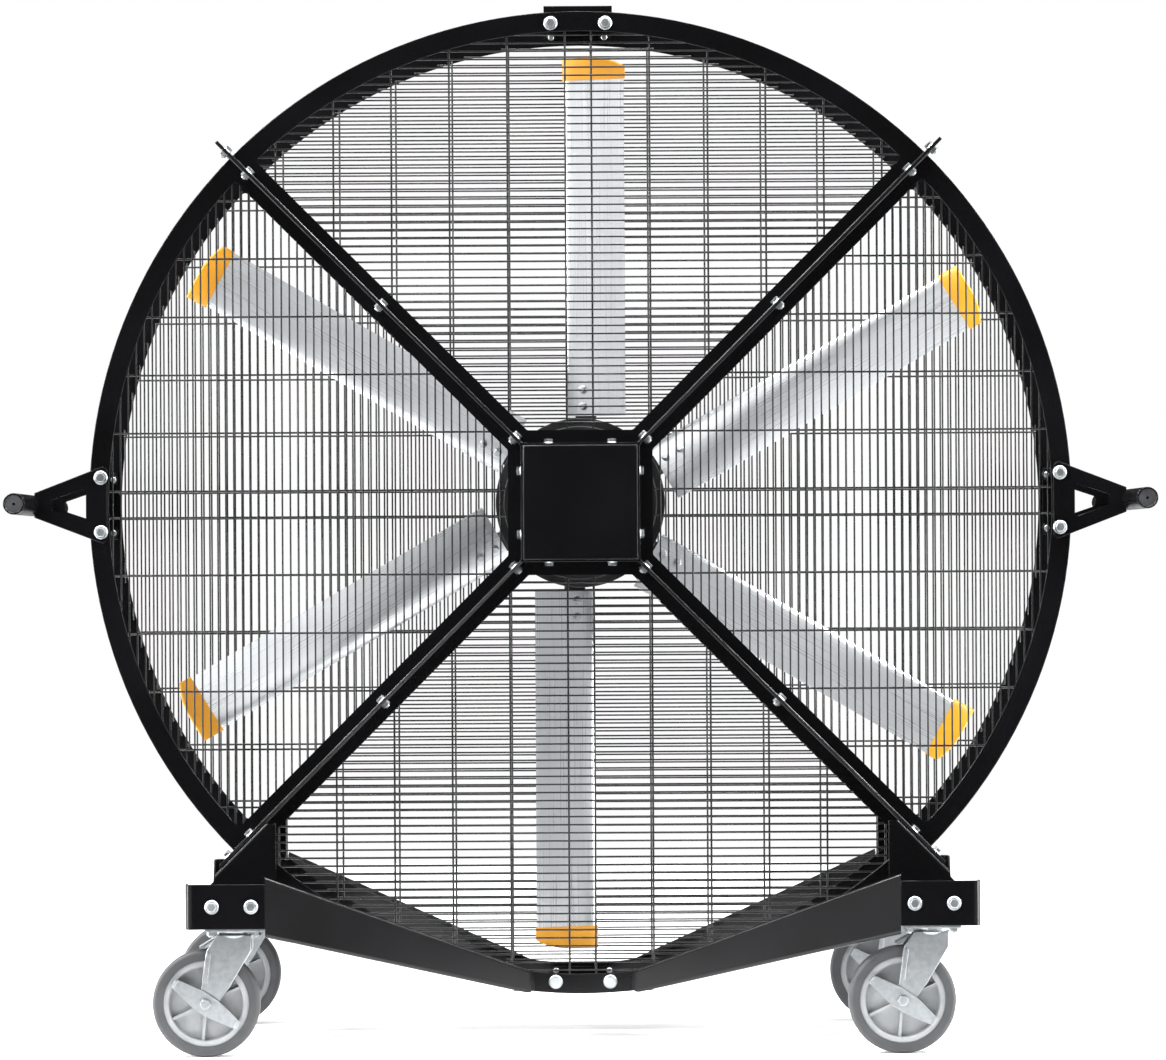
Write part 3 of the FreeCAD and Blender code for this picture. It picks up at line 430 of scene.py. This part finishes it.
def section_point(share, side, lead, trail, thick):
    """Point of the blade section in X and Y, at a share of its chord, on its back (1) or front (-1)."""
    along_chord = share * (lead + trail) - lead
    middle_share = (along_chord + LEAD) / (LEAD + TRAIL)
    rise_mid = 4.0 * CAMBER * middle_share * (1.0 - middle_share)
    half = thick * (1.485 * math.sqrt(share) - 0.63 * share - 1.758 * share ** 2
                    + 1.4215 * share ** 3 - 0.4835 * share ** 4)
    up = rise_mid + side * half
    x = along_chord * math.cos(PITCH) + up * math.sin(PITCH)
    y = -along_chord * math.sin(PITCH) + up * math.cos(PITCH)
    return x, y


def section_loop(lead, trail, thick):
    """Closed section: back from tail to nose, then front from nose to tail."""
    loop = [section_point(share, 1, lead, trail, thick) for share in reversed(SHARES)]
    return loop + [section_point(share, -1, lead, trail, thick) for share in SHARES[1:]]


def blade_mesh(name, angle):
    """One blade: outer skin, hollow inside, closed at the outer end and open at the root."""
    bm = bmesh.new()
    uv = bm.loops.layers.uv.new("section")
    outer = section_loop(LEAD, TRAIL, THICK)
    inner = section_loop(LEAD - 0.005, TRAIL - 0.022, THICK - 0.005)
    rows = [(outer, ROOT_R), (outer, BLADE_END), (inner, ROOT_R), (inner, BLADE_END - 0.006)]
    rings = [[bm.verts.new((x, y, z)) for x, y in loop] for loop, z in rows]
    count = len(outer)

    def skin(first, second):
        for i in range(count):
            j = (i + 1) % count
            bm.faces.new((first[i], first[j], second[j], second[i]))

    skin(rings[0], rings[1])
    skin(rings[2], rings[0])
    skin(rings[3], rings[2])
    bm.faces.new(rings[1])
    bm.faces.new(rings[3][::-1])
    bmesh.ops.recalc_face_normals(bm, faces=bm.faces)
    for face in bm.faces:
        for loop in face.loops:
            loop[uv].uv = (loop.vert.co.x, loop.vert.co.z)
    bm.transform(Matrix.Translation((0, 0, HUB)) @ Matrix.Rotation(angle, 4, "Y"))
    mesh = bpy.data.meshes.new(name)
    bm.to_mesh(mesh)
    bm.free()
    smooth(mesh, 35)
    return mesh


for i in range(6):
    name = "blade_%d" % (i + 1)
    mesh = blade_mesh(name + "_extrusion", math.radians(60.0 * i))
    place(name + "_extrusion", mesh, blade_metal, "rotor", [name])


# Blade tips: moulded yellow nylon caps pushed over the blade ends, their outer trailing corner swept round.
# Moulded in colour, semi-gloss, with a soft edge all round.
tip_nylon, tree, shader, spot = new_finish("moulded_yellow_nylon", IOR=1.53)
vary(tree, shader, spot, 0.06, ("#c68402", "#d29204"), (0.36, 0.48))
grain(tree, shader, spot, 0.003, 0.0001, 0.12)
TIP_START = TIP_R - 0.046
TIP_ROUND = 0.004
CORNER = TRAIL - 0.085
SWEEP = 0.100
SWEEP_DEEP = 0.53 * SWEEP
# The cap stands 2 to 3.5 mm proud of the blade all round.
CAP = (LEAD + 0.0035, TRAIL + 0.0025, THICK + 0.004)


def tip_top(x):
    """Outer end of the cap at a place across the blade: straight, then swept round to the trailing corner."""
    if x <= CORNER:
        return TIP_R
    return TIP_R - SWEEP_DEEP + SWEEP_DEEP / SWEEP * math.sqrt(SWEEP ** 2 - (x - CORNER) ** 2)


def tip_mesh(angle):
    """One cap: sides, rounded outer edge, closed top, and the pocket that takes the blade end."""
    bm = bmesh.new()
    levels = 5
    sides = {}
    for side in (1, -1):
        for i, share in enumerate(SHARES):
            x, y = section_point(share, side, *CAP)
            back, front = section_point(share, 1, *CAP), section_point(share, -1, *CAP)
            mid = [sum(pair) / 2 for pair in zip(back, front)]
            top = tip_top(x)
            column = [bm.verts.new((x, y, TIP_START))]
            for k in range(levels + 1):
                turn_angle = 0.5 * math.pi * k / levels
                pull = TIP_ROUND * (1.0 - math.cos(turn_angle))
                gap = math.hypot(x - mid[0], y - mid[1])
                keep = max(0.0, 1.0 - pull / gap) if gap > 1e-6 else 1.0
                z = top - TIP_ROUND + TIP_ROUND * math.sin(turn_angle)
                place_xy = [m + (at - m) * keep for m, at in zip(mid, (x, y))]
                column.append(bm.verts.new((*place_xy, z)))
            sides[side, i] = column
    last = len(SHARES) - 1
    for side in (1, -1):
        for i in range(last):
            for k in range(levels + 1):
                a, b = sides[side, i], sides[side, i + 1]
                bm.faces.new((a[k], b[k], b[k + 1], a[k + 1]))
    for i in range(last):
        a, b, c, d = sides[1, i][-1], sides[1, i + 1][-1], sides[-1, i + 1][-1], sides[-1, i][-1]
        bm.faces.new((a, b, c, d))
    for k in range(levels + 1):
        a, b = sides[1, last], sides[-1, last]
        bm.faces.new((a[k], b[k], b[k + 1], a[k + 1]))
    pocket = section_loop(LEAD, TRAIL, THICK)
    rim = [sides[1, i][0] for i in range(last, -1, -1)] + [sides[-1, i][0] for i in range(1, last + 1)]
    mouth = [bm.verts.new((x, y, TIP_START)) for x, y in pocket]
    floor_ring = [bm.verts.new((x, y, BLADE_END)) for x, y in pocket]
    for first, second in ((rim, mouth), (mouth, floor_ring)):
        for i in range(len(rim)):
            j = (i + 1) % len(rim)
            bm.faces.new((first[i], first[j], second[j], second[i]))
    bm.faces.new(floor_ring)
    bmesh.ops.remove_doubles(bm, verts=bm.verts, dist=1e-6)
    bmesh.ops.recalc_face_normals(bm, faces=bm.faces)
    bm.transform(Matrix.Translation((0, 0, HUB)) @ Matrix.Rotation(angle, 4, "Y"))
    mesh = bpy.data.meshes.new("tip")
    bm.to_mesh(mesh)
    bm.free()
    smooth(mesh, 40)
    return mesh


tips = joined("blade_tip_caps", [tip_mesh(math.radians(60.0 * i)) for i in range(6)])
place("blade_tip_caps", tips, tip_nylon, "rotor", ["blade_tips"])


# Base: two pressed trays joined by four tapered channel beams, with plate legs bolted under the lower spokes.
# All folded from 4 mm plate and powder coated with the cage.
for node in ("base_tray_left", "base_tray_right", "front_beams", "rear_beams"):
    coated(node, powder_coat, 0.0014, "cage")
for node in ("leg_left", "leg_right"):
    coated(node, powder_coat, 0.0012, "cage")


# Bolts: flange-head steel bolts with six-sided heads and nuts, bright zinc plated; the nuts of the ring bolts
# are coated black with the frames. A point under the head, a direction and a grip give each one.
# Zinc plate is bluish silver and slightly cloudy where the plating bath left it.
zinc, tree, shader, spot = new_finish("bright_zinc_plated_steel", Metallic=1.0)
vary(tree, shader, spot, 0.035, ("#aaaeb1", "#c4c8ca"), (0.36, 0.43))
grain(tree, shader, spot, 0.003, 0.00008, 0.15)

bolt_tree = bpy.data.node_groups.new("flange_bolts", "GeometryNodeTree")
bolt_inputs = {}
for label, kind in (
    ("Places", "Geometry"), ("Size", "Float"), ("Washer", "Float"),
    ("Finish", "Material"), ("Nut Finish", "Material"),
):
    socket = bolt_tree.interface.new_socket(name=label, in_out="INPUT", socket_type="NodeSocket" + kind)
    bolt_inputs[label] = socket.identifier
bolt_tree.interface.new_socket(name="Geometry", in_out="OUTPUT", socket_type="NodeSocketGeometry")
given = add(bolt_tree, "NodeGroupInput").outputs
direction = add(bolt_tree, "GeometryNodeInputNamedAttribute", {"Name": "direction"}, data_type="FLOAT_VECTOR")
grip = add(bolt_tree, "GeometryNodeInputNamedAttribute", {"Name": "grip"}, data_type="FLOAT")
aim = add(bolt_tree, "FunctionNodeAlignRotationToVector", {"Vector": direction}, axis="Z")


def bolt_part(corners, low_r, high_r, base, height):
    """Round or six-sided section of a bolt, in bolt sizes or washer radii, from its base along the bolt."""
    sizes = {"Vertices": corners}
    for label, size in (("Radius Bottom", low_r), ("Radius Top", high_r), ("Depth", height)):
        if isinstance(size, float):
            size = add(bolt_tree, "ShaderNodeMath", {0: given["Size"], 1: size}, operation="MULTIPLY")
        sizes[label] = size
    cone = add(bolt_tree, "GeometryNodeMeshCone", sizes, fill_type="NGON")
    up = add(bolt_tree, "ShaderNodeMath", {0: given["Size"], 1: base}, operation="MULTIPLY")
    shift = add(bolt_tree, "ShaderNodeCombineXYZ", {2: up})
    return add(bolt_tree, "GeometryNodeTransform", {"Geometry": cone, "Translation": shift}).outputs[0]


# Corner radius of a six-sided head or nut in bolt sizes, whole and at its chamfered end.
HEX, HEX_END = 0.866, 0.74
rim_r = add(bolt_tree, "ShaderNodeMath", {0: given["Washer"], 1: 0.5}, operation="MULTIPLY")
inner_rim = add(bolt_tree, "ShaderNodeMath", {0: given["Washer"], 1: 0.42}, operation="MULTIPLY")
head = add(bolt_tree, "GeometryNodeJoinGeometry")
for part in (
    bolt_part(24, inner_rim, rim_r, -0.22, 0.22),
    bolt_part(6, HEX, HEX, -0.76, 0.54),
    bolt_part(6, HEX_END, HEX, -0.82, 0.06),
):
    bolt_tree.links.new(part, head.inputs[0])
nut = add(bolt_tree, "GeometryNodeJoinGeometry")
for part in (bolt_part(6, HEX, HEX, 0.0, 0.74), bolt_part(6, HEX, HEX_END, 0.74, 0.06)):
    bolt_tree.links.new(part, nut.inputs[0])
tail = add(bolt_tree, "GeometryNodeJoinGeometry")
for part in (bolt_part(12, 0.5, 0.5, 0.60, 0.42), bolt_part(12, 0.5, 0.42, 1.02, 0.08)):
    bolt_tree.links.new(part, tail.inputs[0])
heads = add(bolt_tree, "GeometryNodeInstanceOnPoints", {
    "Points": given["Places"], "Instance": head, "Rotation": aim})
past = add(bolt_tree, "ShaderNodeVectorMath", {0: direction, "Scale": grip}, operation="SCALE")
far = add(bolt_tree, "GeometryNodeSetPosition", {"Geometry": given["Places"], "Offset": past})
tails = add(bolt_tree, "GeometryNodeInstanceOnPoints", {"Points": far, "Instance": tail, "Rotation": aim})
nuts = add(bolt_tree, "GeometryNodeInstanceOnPoints", {"Points": far, "Instance": nut, "Rotation": aim})
whole = add(bolt_tree, "GeometryNodeJoinGeometry")
for part, label in ((heads, "Finish"), (tails, "Finish"), (nuts, "Nut Finish")):
    real = add(bolt_tree, "GeometryNodeRealizeInstances", {"Geometry": part})
    painted = add(bolt_tree, "GeometryNodeSetMaterial", {"Geometry": real, "Material": given[label]})
    bolt_tree.links.new(painted.outputs[0], whole.inputs[0])
add(bolt_tree, "NodeGroupOutput", {0: whole})


def bolts(name, size, washer, places, finish, nut_finish):
    """Bolts of one size and finish from (point under the head, direction, grip) places."""
    mesh = bpy.data.meshes.new(name + "_places")
    mesh.from_pydata([tuple(point) for point, way, hold in places], [], [])
    mesh.attributes.new("direction", "FLOAT_VECTOR", "POINT")
    mesh.attributes.new("grip", "FLOAT", "POINT")
    for i, (point, way, hold) in enumerate(places):
        mesh.attributes["direction"].data[i].vector = way
        mesh.attributes["grip"].data[i].value = hold
    result = grown(name, bolt_tree, bolt_inputs, {
        "Size": size, "Washer": washer, "Finish": finish, "Nut Finish": nut_finish}, mesh)
    smooth(result, 25)
    return result


def around_hub(angle, point, way):
    """Point and direction on the top spoke or side, turned around the rotor axis and lifted to the hub."""
    turn_matrix = Matrix.Rotation(math.radians(angle), 3, "Y")
    return turn_matrix @ Vector(point) + Vector((0, 0, HUB)), turn_matrix @ Vector(way)


def both_ends(places):
    """Places at the front and their mirror places at the rear."""
    every = []
    for point, way, hold in places:
        for y in (1, -1):
            flip = Vector((1, y, 1))
            every.append((Vector(point) * flip, Vector(way) * flip, hold))
    return every


# Places of the ring bolts, then of the spoke and cover bolts, then of those in the trays.
FACE = 0.150
FOLD_Y = 0.166
SHEET = 0.0035
BRACKET = 0.005
RING_GRIP = 0.0075
RING_BOLT_X = 0.055
RING_BOLT_R = 0.966
ring_places = []
for angle, plate in ((0, 0.0), (90, BRACKET), (180, 0.0), (270, BRACKET)):
    for x in (-RING_BOLT_X, RING_BOLT_X):
        point, way = around_hub(angle, (x, -FACE - plate, RING_BOLT_R), (0, 1, 0))
        ring_places.append((point, way, plate + RING_GRIP))
SPOKE_RADII = (0.116 * math.sqrt(2) + 0.021, 0.57 * 0.990, 0.942, 1.004)
LEG_PLATE = 0.004
spoke_places = []
for angle in (45, 135, 225, 315):
    side = 1 if angle in (225, 315) else -1
    for k, radius in enumerate(SPOKE_RADII):
        on_leg = angle in (135, 225) and k > 1
        point, way = around_hub(angle, (side * SHEET, -FOLD_Y, radius), (-side, 0, 0))
        spoke_places.append((point, way, 2 * SHEET + (LEG_PLATE if on_leg else 0.0)))
COVER_BOLT_X = 0.0638
COVER_SIDE = 0.1195
COVER_GRIP = 0.0065
for angle in (0, 90, 180, 270):
    for x in (-COVER_BOLT_X, COVER_BOLT_X):
        point, way = around_hub(angle, (x, -FOLD_Y, COVER_SIDE), (0, 0, -1))
        spoke_places.append((point, way, COVER_GRIP))
TRAY_OUT = 1.030 / math.sqrt(2) + 0.052
TRAY_END = 0.432
TRAY_FLOOR = 0.259
WALL_BOLT_Z = 0.29925
FOOT_Y, FOOT_Z = 0.168, 0.263
CASTER_X, CASTER_Y = TRAY_OUT - 0.094, 0.357
CASTER_GRIP = 0.010
for x in (-1, 1):
    for inset in (0.0525, 0.1295):
        ring_places.append(((x * (TRAY_OUT - inset), -TRAY_END, WALL_BOLT_Z), (0, 1, 0), 2 * LEG_PLATE))
    for inset in (0.060, 0.115):
        spoke_places.append(((x * (TRAY_OUT - inset), -FOOT_Y, FOOT_Z), (0, 0, -1), 2 * LEG_PLATE))
    for dx in (-0.045, 0.045):
        for dy in (-0.042, 0.042):
            spoke_places.append(((x * CASTER_X + dx, -CASTER_Y + dy, TRAY_FLOOR), (0, 0, -1), CASTER_GRIP))
frame_bolts = joined("zinc_frame_bolts", [
    bolts("ring_bolts", 0.012, 0.028, both_ends(ring_places), zinc, powder_coat),
    bolts("spoke_bolts", 0.010, 0.021, both_ends(spoke_places), zinc, zinc)])
smooth(frame_bolts, 25)
place("zinc_frame_bolts", frame_bolts, zinc, "cage", ["frame_bolts"])

blade_places = []
tilt = Matrix.Rotation(-PITCH, 3, "Z")
for i in range(6):
    for radius in (ROOT_R + 0.020, ROOT_R + 0.054):
        point, way = around_hub(60.0 * i, tilt @ Vector((0.010, -0.0074, radius)), tilt @ Vector((0, 1, 0)))
        blade_places.append((point, way, 0.0216))
blade_bolts = bolts("zinc_blade_bolts", 0.008, 0.016, blade_places, zinc, zinc)
place("zinc_blade_bolts", blade_bolts, zinc, "rotor", ["blade_bolts"])


# Casters: stamped steel top plates, races and forks, zinc plated; a bow-tie brake lever rocks on each axle.
# The wheel is a light grey moulded core with ribs and a grey rubber tread moulded on.
# Barrel-plated stampings are duller than the bolts, with the mottled bloom of the bath.
dull_zinc, tree, shader, spot = new_finish("barrel_zinc_plated_stamping", Metallic=1.0)
vary(tree, shader, spot, 0.009, ("#9a9ea1", "#a6aaad"), (0.4, 0.46))
grain(tree, shader, spot, 0.004, 0.00012, 0.3)
coated("caster_plates", dull_zinc, 0.0012, "cage")
core_plastic, tree, shader, spot = new_finish("moulded_grey_polypropylene", IOR=1.49)
vary(tree, shader, spot, 0.05, ("#8c8f91", "#9ea0a2"), (0.4, 0.52))
grain(tree, shader, spot, 0.003, 0.0001, 0.15)
tread_rubber, tree, shader, spot = new_finish("moulded_grey_rubber", IOR=1.52)
vary(tree, shader, spot, 0.04, ("#37383a", "#434446"), (0.5, 0.64))
grain(tree, shader, spot, 0.003, 0.0002, 0.3)

rib_tree = bpy.data.node_groups.new("wheel_ribs", "GeometryNodeTree")
rib_inputs = {}
for label, kind in (
    ("Count", "Int"), ("First Angle", "Float"), ("Inner Radius", "Float"), ("Outer Radius", "Float"),
    ("Thickness", "Float"), ("Width", "Float"), ("Centre", "Vector"), ("Finish", "Material"),
):
    socket = rib_tree.interface.new_socket(name=label, in_out="INPUT", socket_type="NodeSocket" + kind)
    rib_inputs[label] = socket.identifier
rib_tree.interface.new_socket(name="Geometry", in_out="OUTPUT", socket_type="NodeSocketGeometry")
given = add(rib_tree, "NodeGroupInput").outputs
radii = {0: given["Outer Radius"], 1: given["Inner Radius"]}
rib_length = add(rib_tree, "ShaderNodeMath", radii, operation="SUBTRACT")
rib_size = add(rib_tree, "ShaderNodeCombineXYZ", {0: given["Thickness"], 1: given["Width"], 2: rib_length})
rib = add(rib_tree, "GeometryNodeMeshCube", {
    "Size": rib_size, "Vertices X": 2, "Vertices Y": 2, "Vertices Z": 2})
both_radii = add(rib_tree, "ShaderNodeMath", radii, operation="ADD")
half_way = add(rib_tree, "ShaderNodeMath", {0: both_radii, 1: 0.5}, operation="MULTIPLY")
outwards = add(rib_tree, "ShaderNodeCombineXYZ", {2: half_way})
one_rib = add(rib_tree, "GeometryNodeTransform", {"Geometry": rib, "Translation": outwards})
spots = add(rib_tree, "GeometryNodeMeshLine", {
    "Count": given["Count"], "Start Location": given["Centre"], "Offset": (0, 0, 0)})
step = add(rib_tree, "ShaderNodeMath", {0: 2 * math.pi, 1: given["Count"]}, operation="DIVIDE")
index = add(rib_tree, "GeometryNodeInputIndex")
steps_on = add(rib_tree, "ShaderNodeMath", {0: index, 1: step}, operation="MULTIPLY")
turned_by = add(rib_tree, "ShaderNodeMath", {0: given["First Angle"], 1: steps_on}, operation="ADD")
rib_turn = add(rib_tree, "ShaderNodeCombineXYZ", {1: turned_by})
all_ribs = add(rib_tree, "GeometryNodeInstanceOnPoints", {
    "Points": spots, "Instance": one_rib, "Rotation": rib_turn})
real = add(rib_tree, "GeometryNodeRealizeInstances", {"Geometry": all_ribs})
painted = add(rib_tree, "GeometryNodeSetMaterial", {"Geometry": real, "Material": given["Finish"]})
add(rib_tree, "NodeGroupOutput", {0: painted})

WHEEL_R = 0.106
CASTER_TRAIL = 0.057
TREAD_ROUND = 0.009
TREAD_FLAT = 0.016
TREAD_HALF = 0.025
RIM_R = 0.085
tread = arc(WHEEL_R - TREAD_ROUND, -TREAD_FLAT, TREAD_ROUND, -90, 0, 6)
tread += arc(WHEEL_R - TREAD_ROUND, TREAD_FLAT, TREAD_ROUND, 0, 90, 6)
tread += [(RIM_R, TREAD_HALF), (RIM_R, -TREAD_HALF)]
# One side of the core as (radius, half width): rim, step down to the web, hub boss and bore.
core_side = [(RIM_R, 0.022), (0.0835, 0.023), (0.0745, 0.023), (0.073, 0.0215), (0.073, 0.008), (0.070, 0.005),
             (0.024, 0.005), (0.020, 0.009), (0.020, 0.0274), (0.019, 0.0284), (0.00605, 0.0284)]
core = [(radius, -half) for radius, half in core_side] + core_side[::-1]
for corner, sx, sy in (("fl", -1, -1), ("fr", 1, -1), ("rl", -1, 1), ("rr", 1, 1)):
    hub = (sx * CASTER_X - CASTER_TRAIL, sy * CASTER_Y, WHEEL_R)
    coated("caster_fork_" + corner, dull_zinc, 0.0015, "caster_" + corner)
    coated("brake_lever_" + corner, dull_zinc, 0.0008, "lever_" + corner)
    place("tread_" + corner, lathe("tread_" + corner, tread, hub, 72), tread_rubber, "wheel_" + corner,
          ["wheel_tread_" + corner])
    body = lathe("core_" + corner, core, hub, 72)
    ribs = grown("ribs_" + corner, rib_tree, rib_inputs, {
        "Count": 6, "First Angle": math.radians(5.0), "Inner Radius": 0.0195, "Outer Radius": 0.0735,
        "Thickness": 0.006, "Width": 0.036, "Centre": hub, "Finish": core_plastic})
    smooth(ribs, 30)
    place("core_" + corner, joined("core_" + corner, [body, ribs]), core_plastic, "wheel_" + corner,
          ["wheel_core_" + corner])


# Studio: a plain pale floor, soft light from above and both sides, and the camera at the photograph's place.
floor_mesh = bpy.data.meshes.new("floor")
floor_mesh.from_pydata([(-9, -1.05, 0), (9, -1.05, 0), (9, 6, 0), (-9, 6, 0)], [], [(0, 1, 2, 3)])
floor = bpy.data.objects.new("floor", floor_mesh)
bpy.context.collection.objects.link(floor)
pale, tree, shader, spot = new_finish(
    "pale_studio_paint", IOR=1.45, Emission_Color=(1.0, 1.0, 1.0, 1.0), Emission_Strength=0.25)
vary(tree, shader, spot, 2.0, ("#f4f4f4", "#f8f8f8"), (0.7, 0.8))
floor_mesh.materials.append(pale)

# The room is white all round, brighter to the left, with dark cloth before and behind the fan so that black
# paint stays black. The camera itself sees plain white.
world = bpy.data.worlds.new("studio")
bpy.context.scene.world = world
world.use_nodes = True
tree = world.node_tree
tree.nodes.clear()
way = add(tree, "ShaderNodeTexCoord").outputs["Generated"]
sides = add(tree, "ShaderNodeSeparateXYZ", {0: way}).outputs
depth = add(tree, "ShaderNodeMath", {0: sides[1]}, operation="ABSOLUTE")
walls = add(tree, "ShaderNodeMapRange", {
    "Value": sides[0], "From Min": -0.6, "From Max": 0.6, "To Min": 1.26, "To Max": 0.72})
dim = add(tree, "ShaderNodeMapRange", {
    "Value": depth, "From Min": 0.40, "From Max": 0.78, "To Min": 0.6, "To Max": 1.0})
lit = add(tree, "ShaderNodeMath", {0: walls, 1: dim}, operation="MULTIPLY")
cloth = add(tree, "ShaderNodeMapRange", {
    "Value": depth, "From Min": 0.80, "From Max": 0.93, "To Min": lit, "To Max": 0.03},
    interpolation_type="SMOOTHSTEP")
seen = add(tree, "ShaderNodeLightPath").outputs["Is Camera Ray"]
level = add(tree, "ShaderNodeMath", {0: cloth, 1: seen}, operation="MAXIMUM")
room = add(tree, "ShaderNodeBackground", {"Color": (1.0, 1.0, 1.0, 1.0), "Strength": level})
add(tree, "ShaderNodeOutputWorld", {"Surface": room})
for name, spot_at, aim_at, power, size in (
    ("key", (-5.0, -6.0, 6.0), (0, 0, 1.1), 380.0, (3.0, 3.0)),
    ("fill", (6.0, -5.0, 3.5), (0, 0, 1.0), 80.0, (3.0, 3.0)),
    ("left_strip", (-5.6, -0.6, 1.3), (0, 0, 1.3), 350.0, (0.6, 3.2)),
    ("right_strip", (5.6, -0.6, 1.3), (0, 0, 1.3), 350.0, (0.6, 3.2)),
    ("top_strip", (0.0, -0.5, 6.7), (0, 0, 1.0), 500.0, (4.4, 0.6)),
    ("left_corner_strip", (-4.2, -0.6, 5.3), (0, 0, 1.1), 500.0, (0.6, 2.8)),
    ("right_corner_strip", (4.2, -0.6, 5.3), (0, 0, 1.1), 500.0, (0.6, 2.8)),
):
    lamp = bpy.data.lights.new(name, "AREA")
    lamp.energy = power
    lamp.shape = "RECTANGLE"
    lamp.size, lamp.size_y = size
    light = bpy.data.objects.new(name, lamp)
    light.location = spot_at
    light.rotation_euler = (Vector(aim_at) - Vector(spot_at)).to_track_quat("-Z", "Y").to_euler()
    bpy.context.collection.objects.link(light)

lens = bpy.data.cameras.new("camera")
lens.sensor_width = 36.0
lens.lens = 157.25
lens.shift_x = 0.0092
lens.shift_y = 0.0253
lens.clip_end = 200.0
camera = bpy.data.objects.new("camera", lens)
camera.location = (-0.017, -10.413, 0.977)
camera.rotation_euler = (math.radians(90.0), math.radians(0.32), 0.0)
bpy.context.collection.objects.link(camera)
bpy.context.scene.camera = camera
bpy.context.scene.view_settings.view_transform = "Standard"
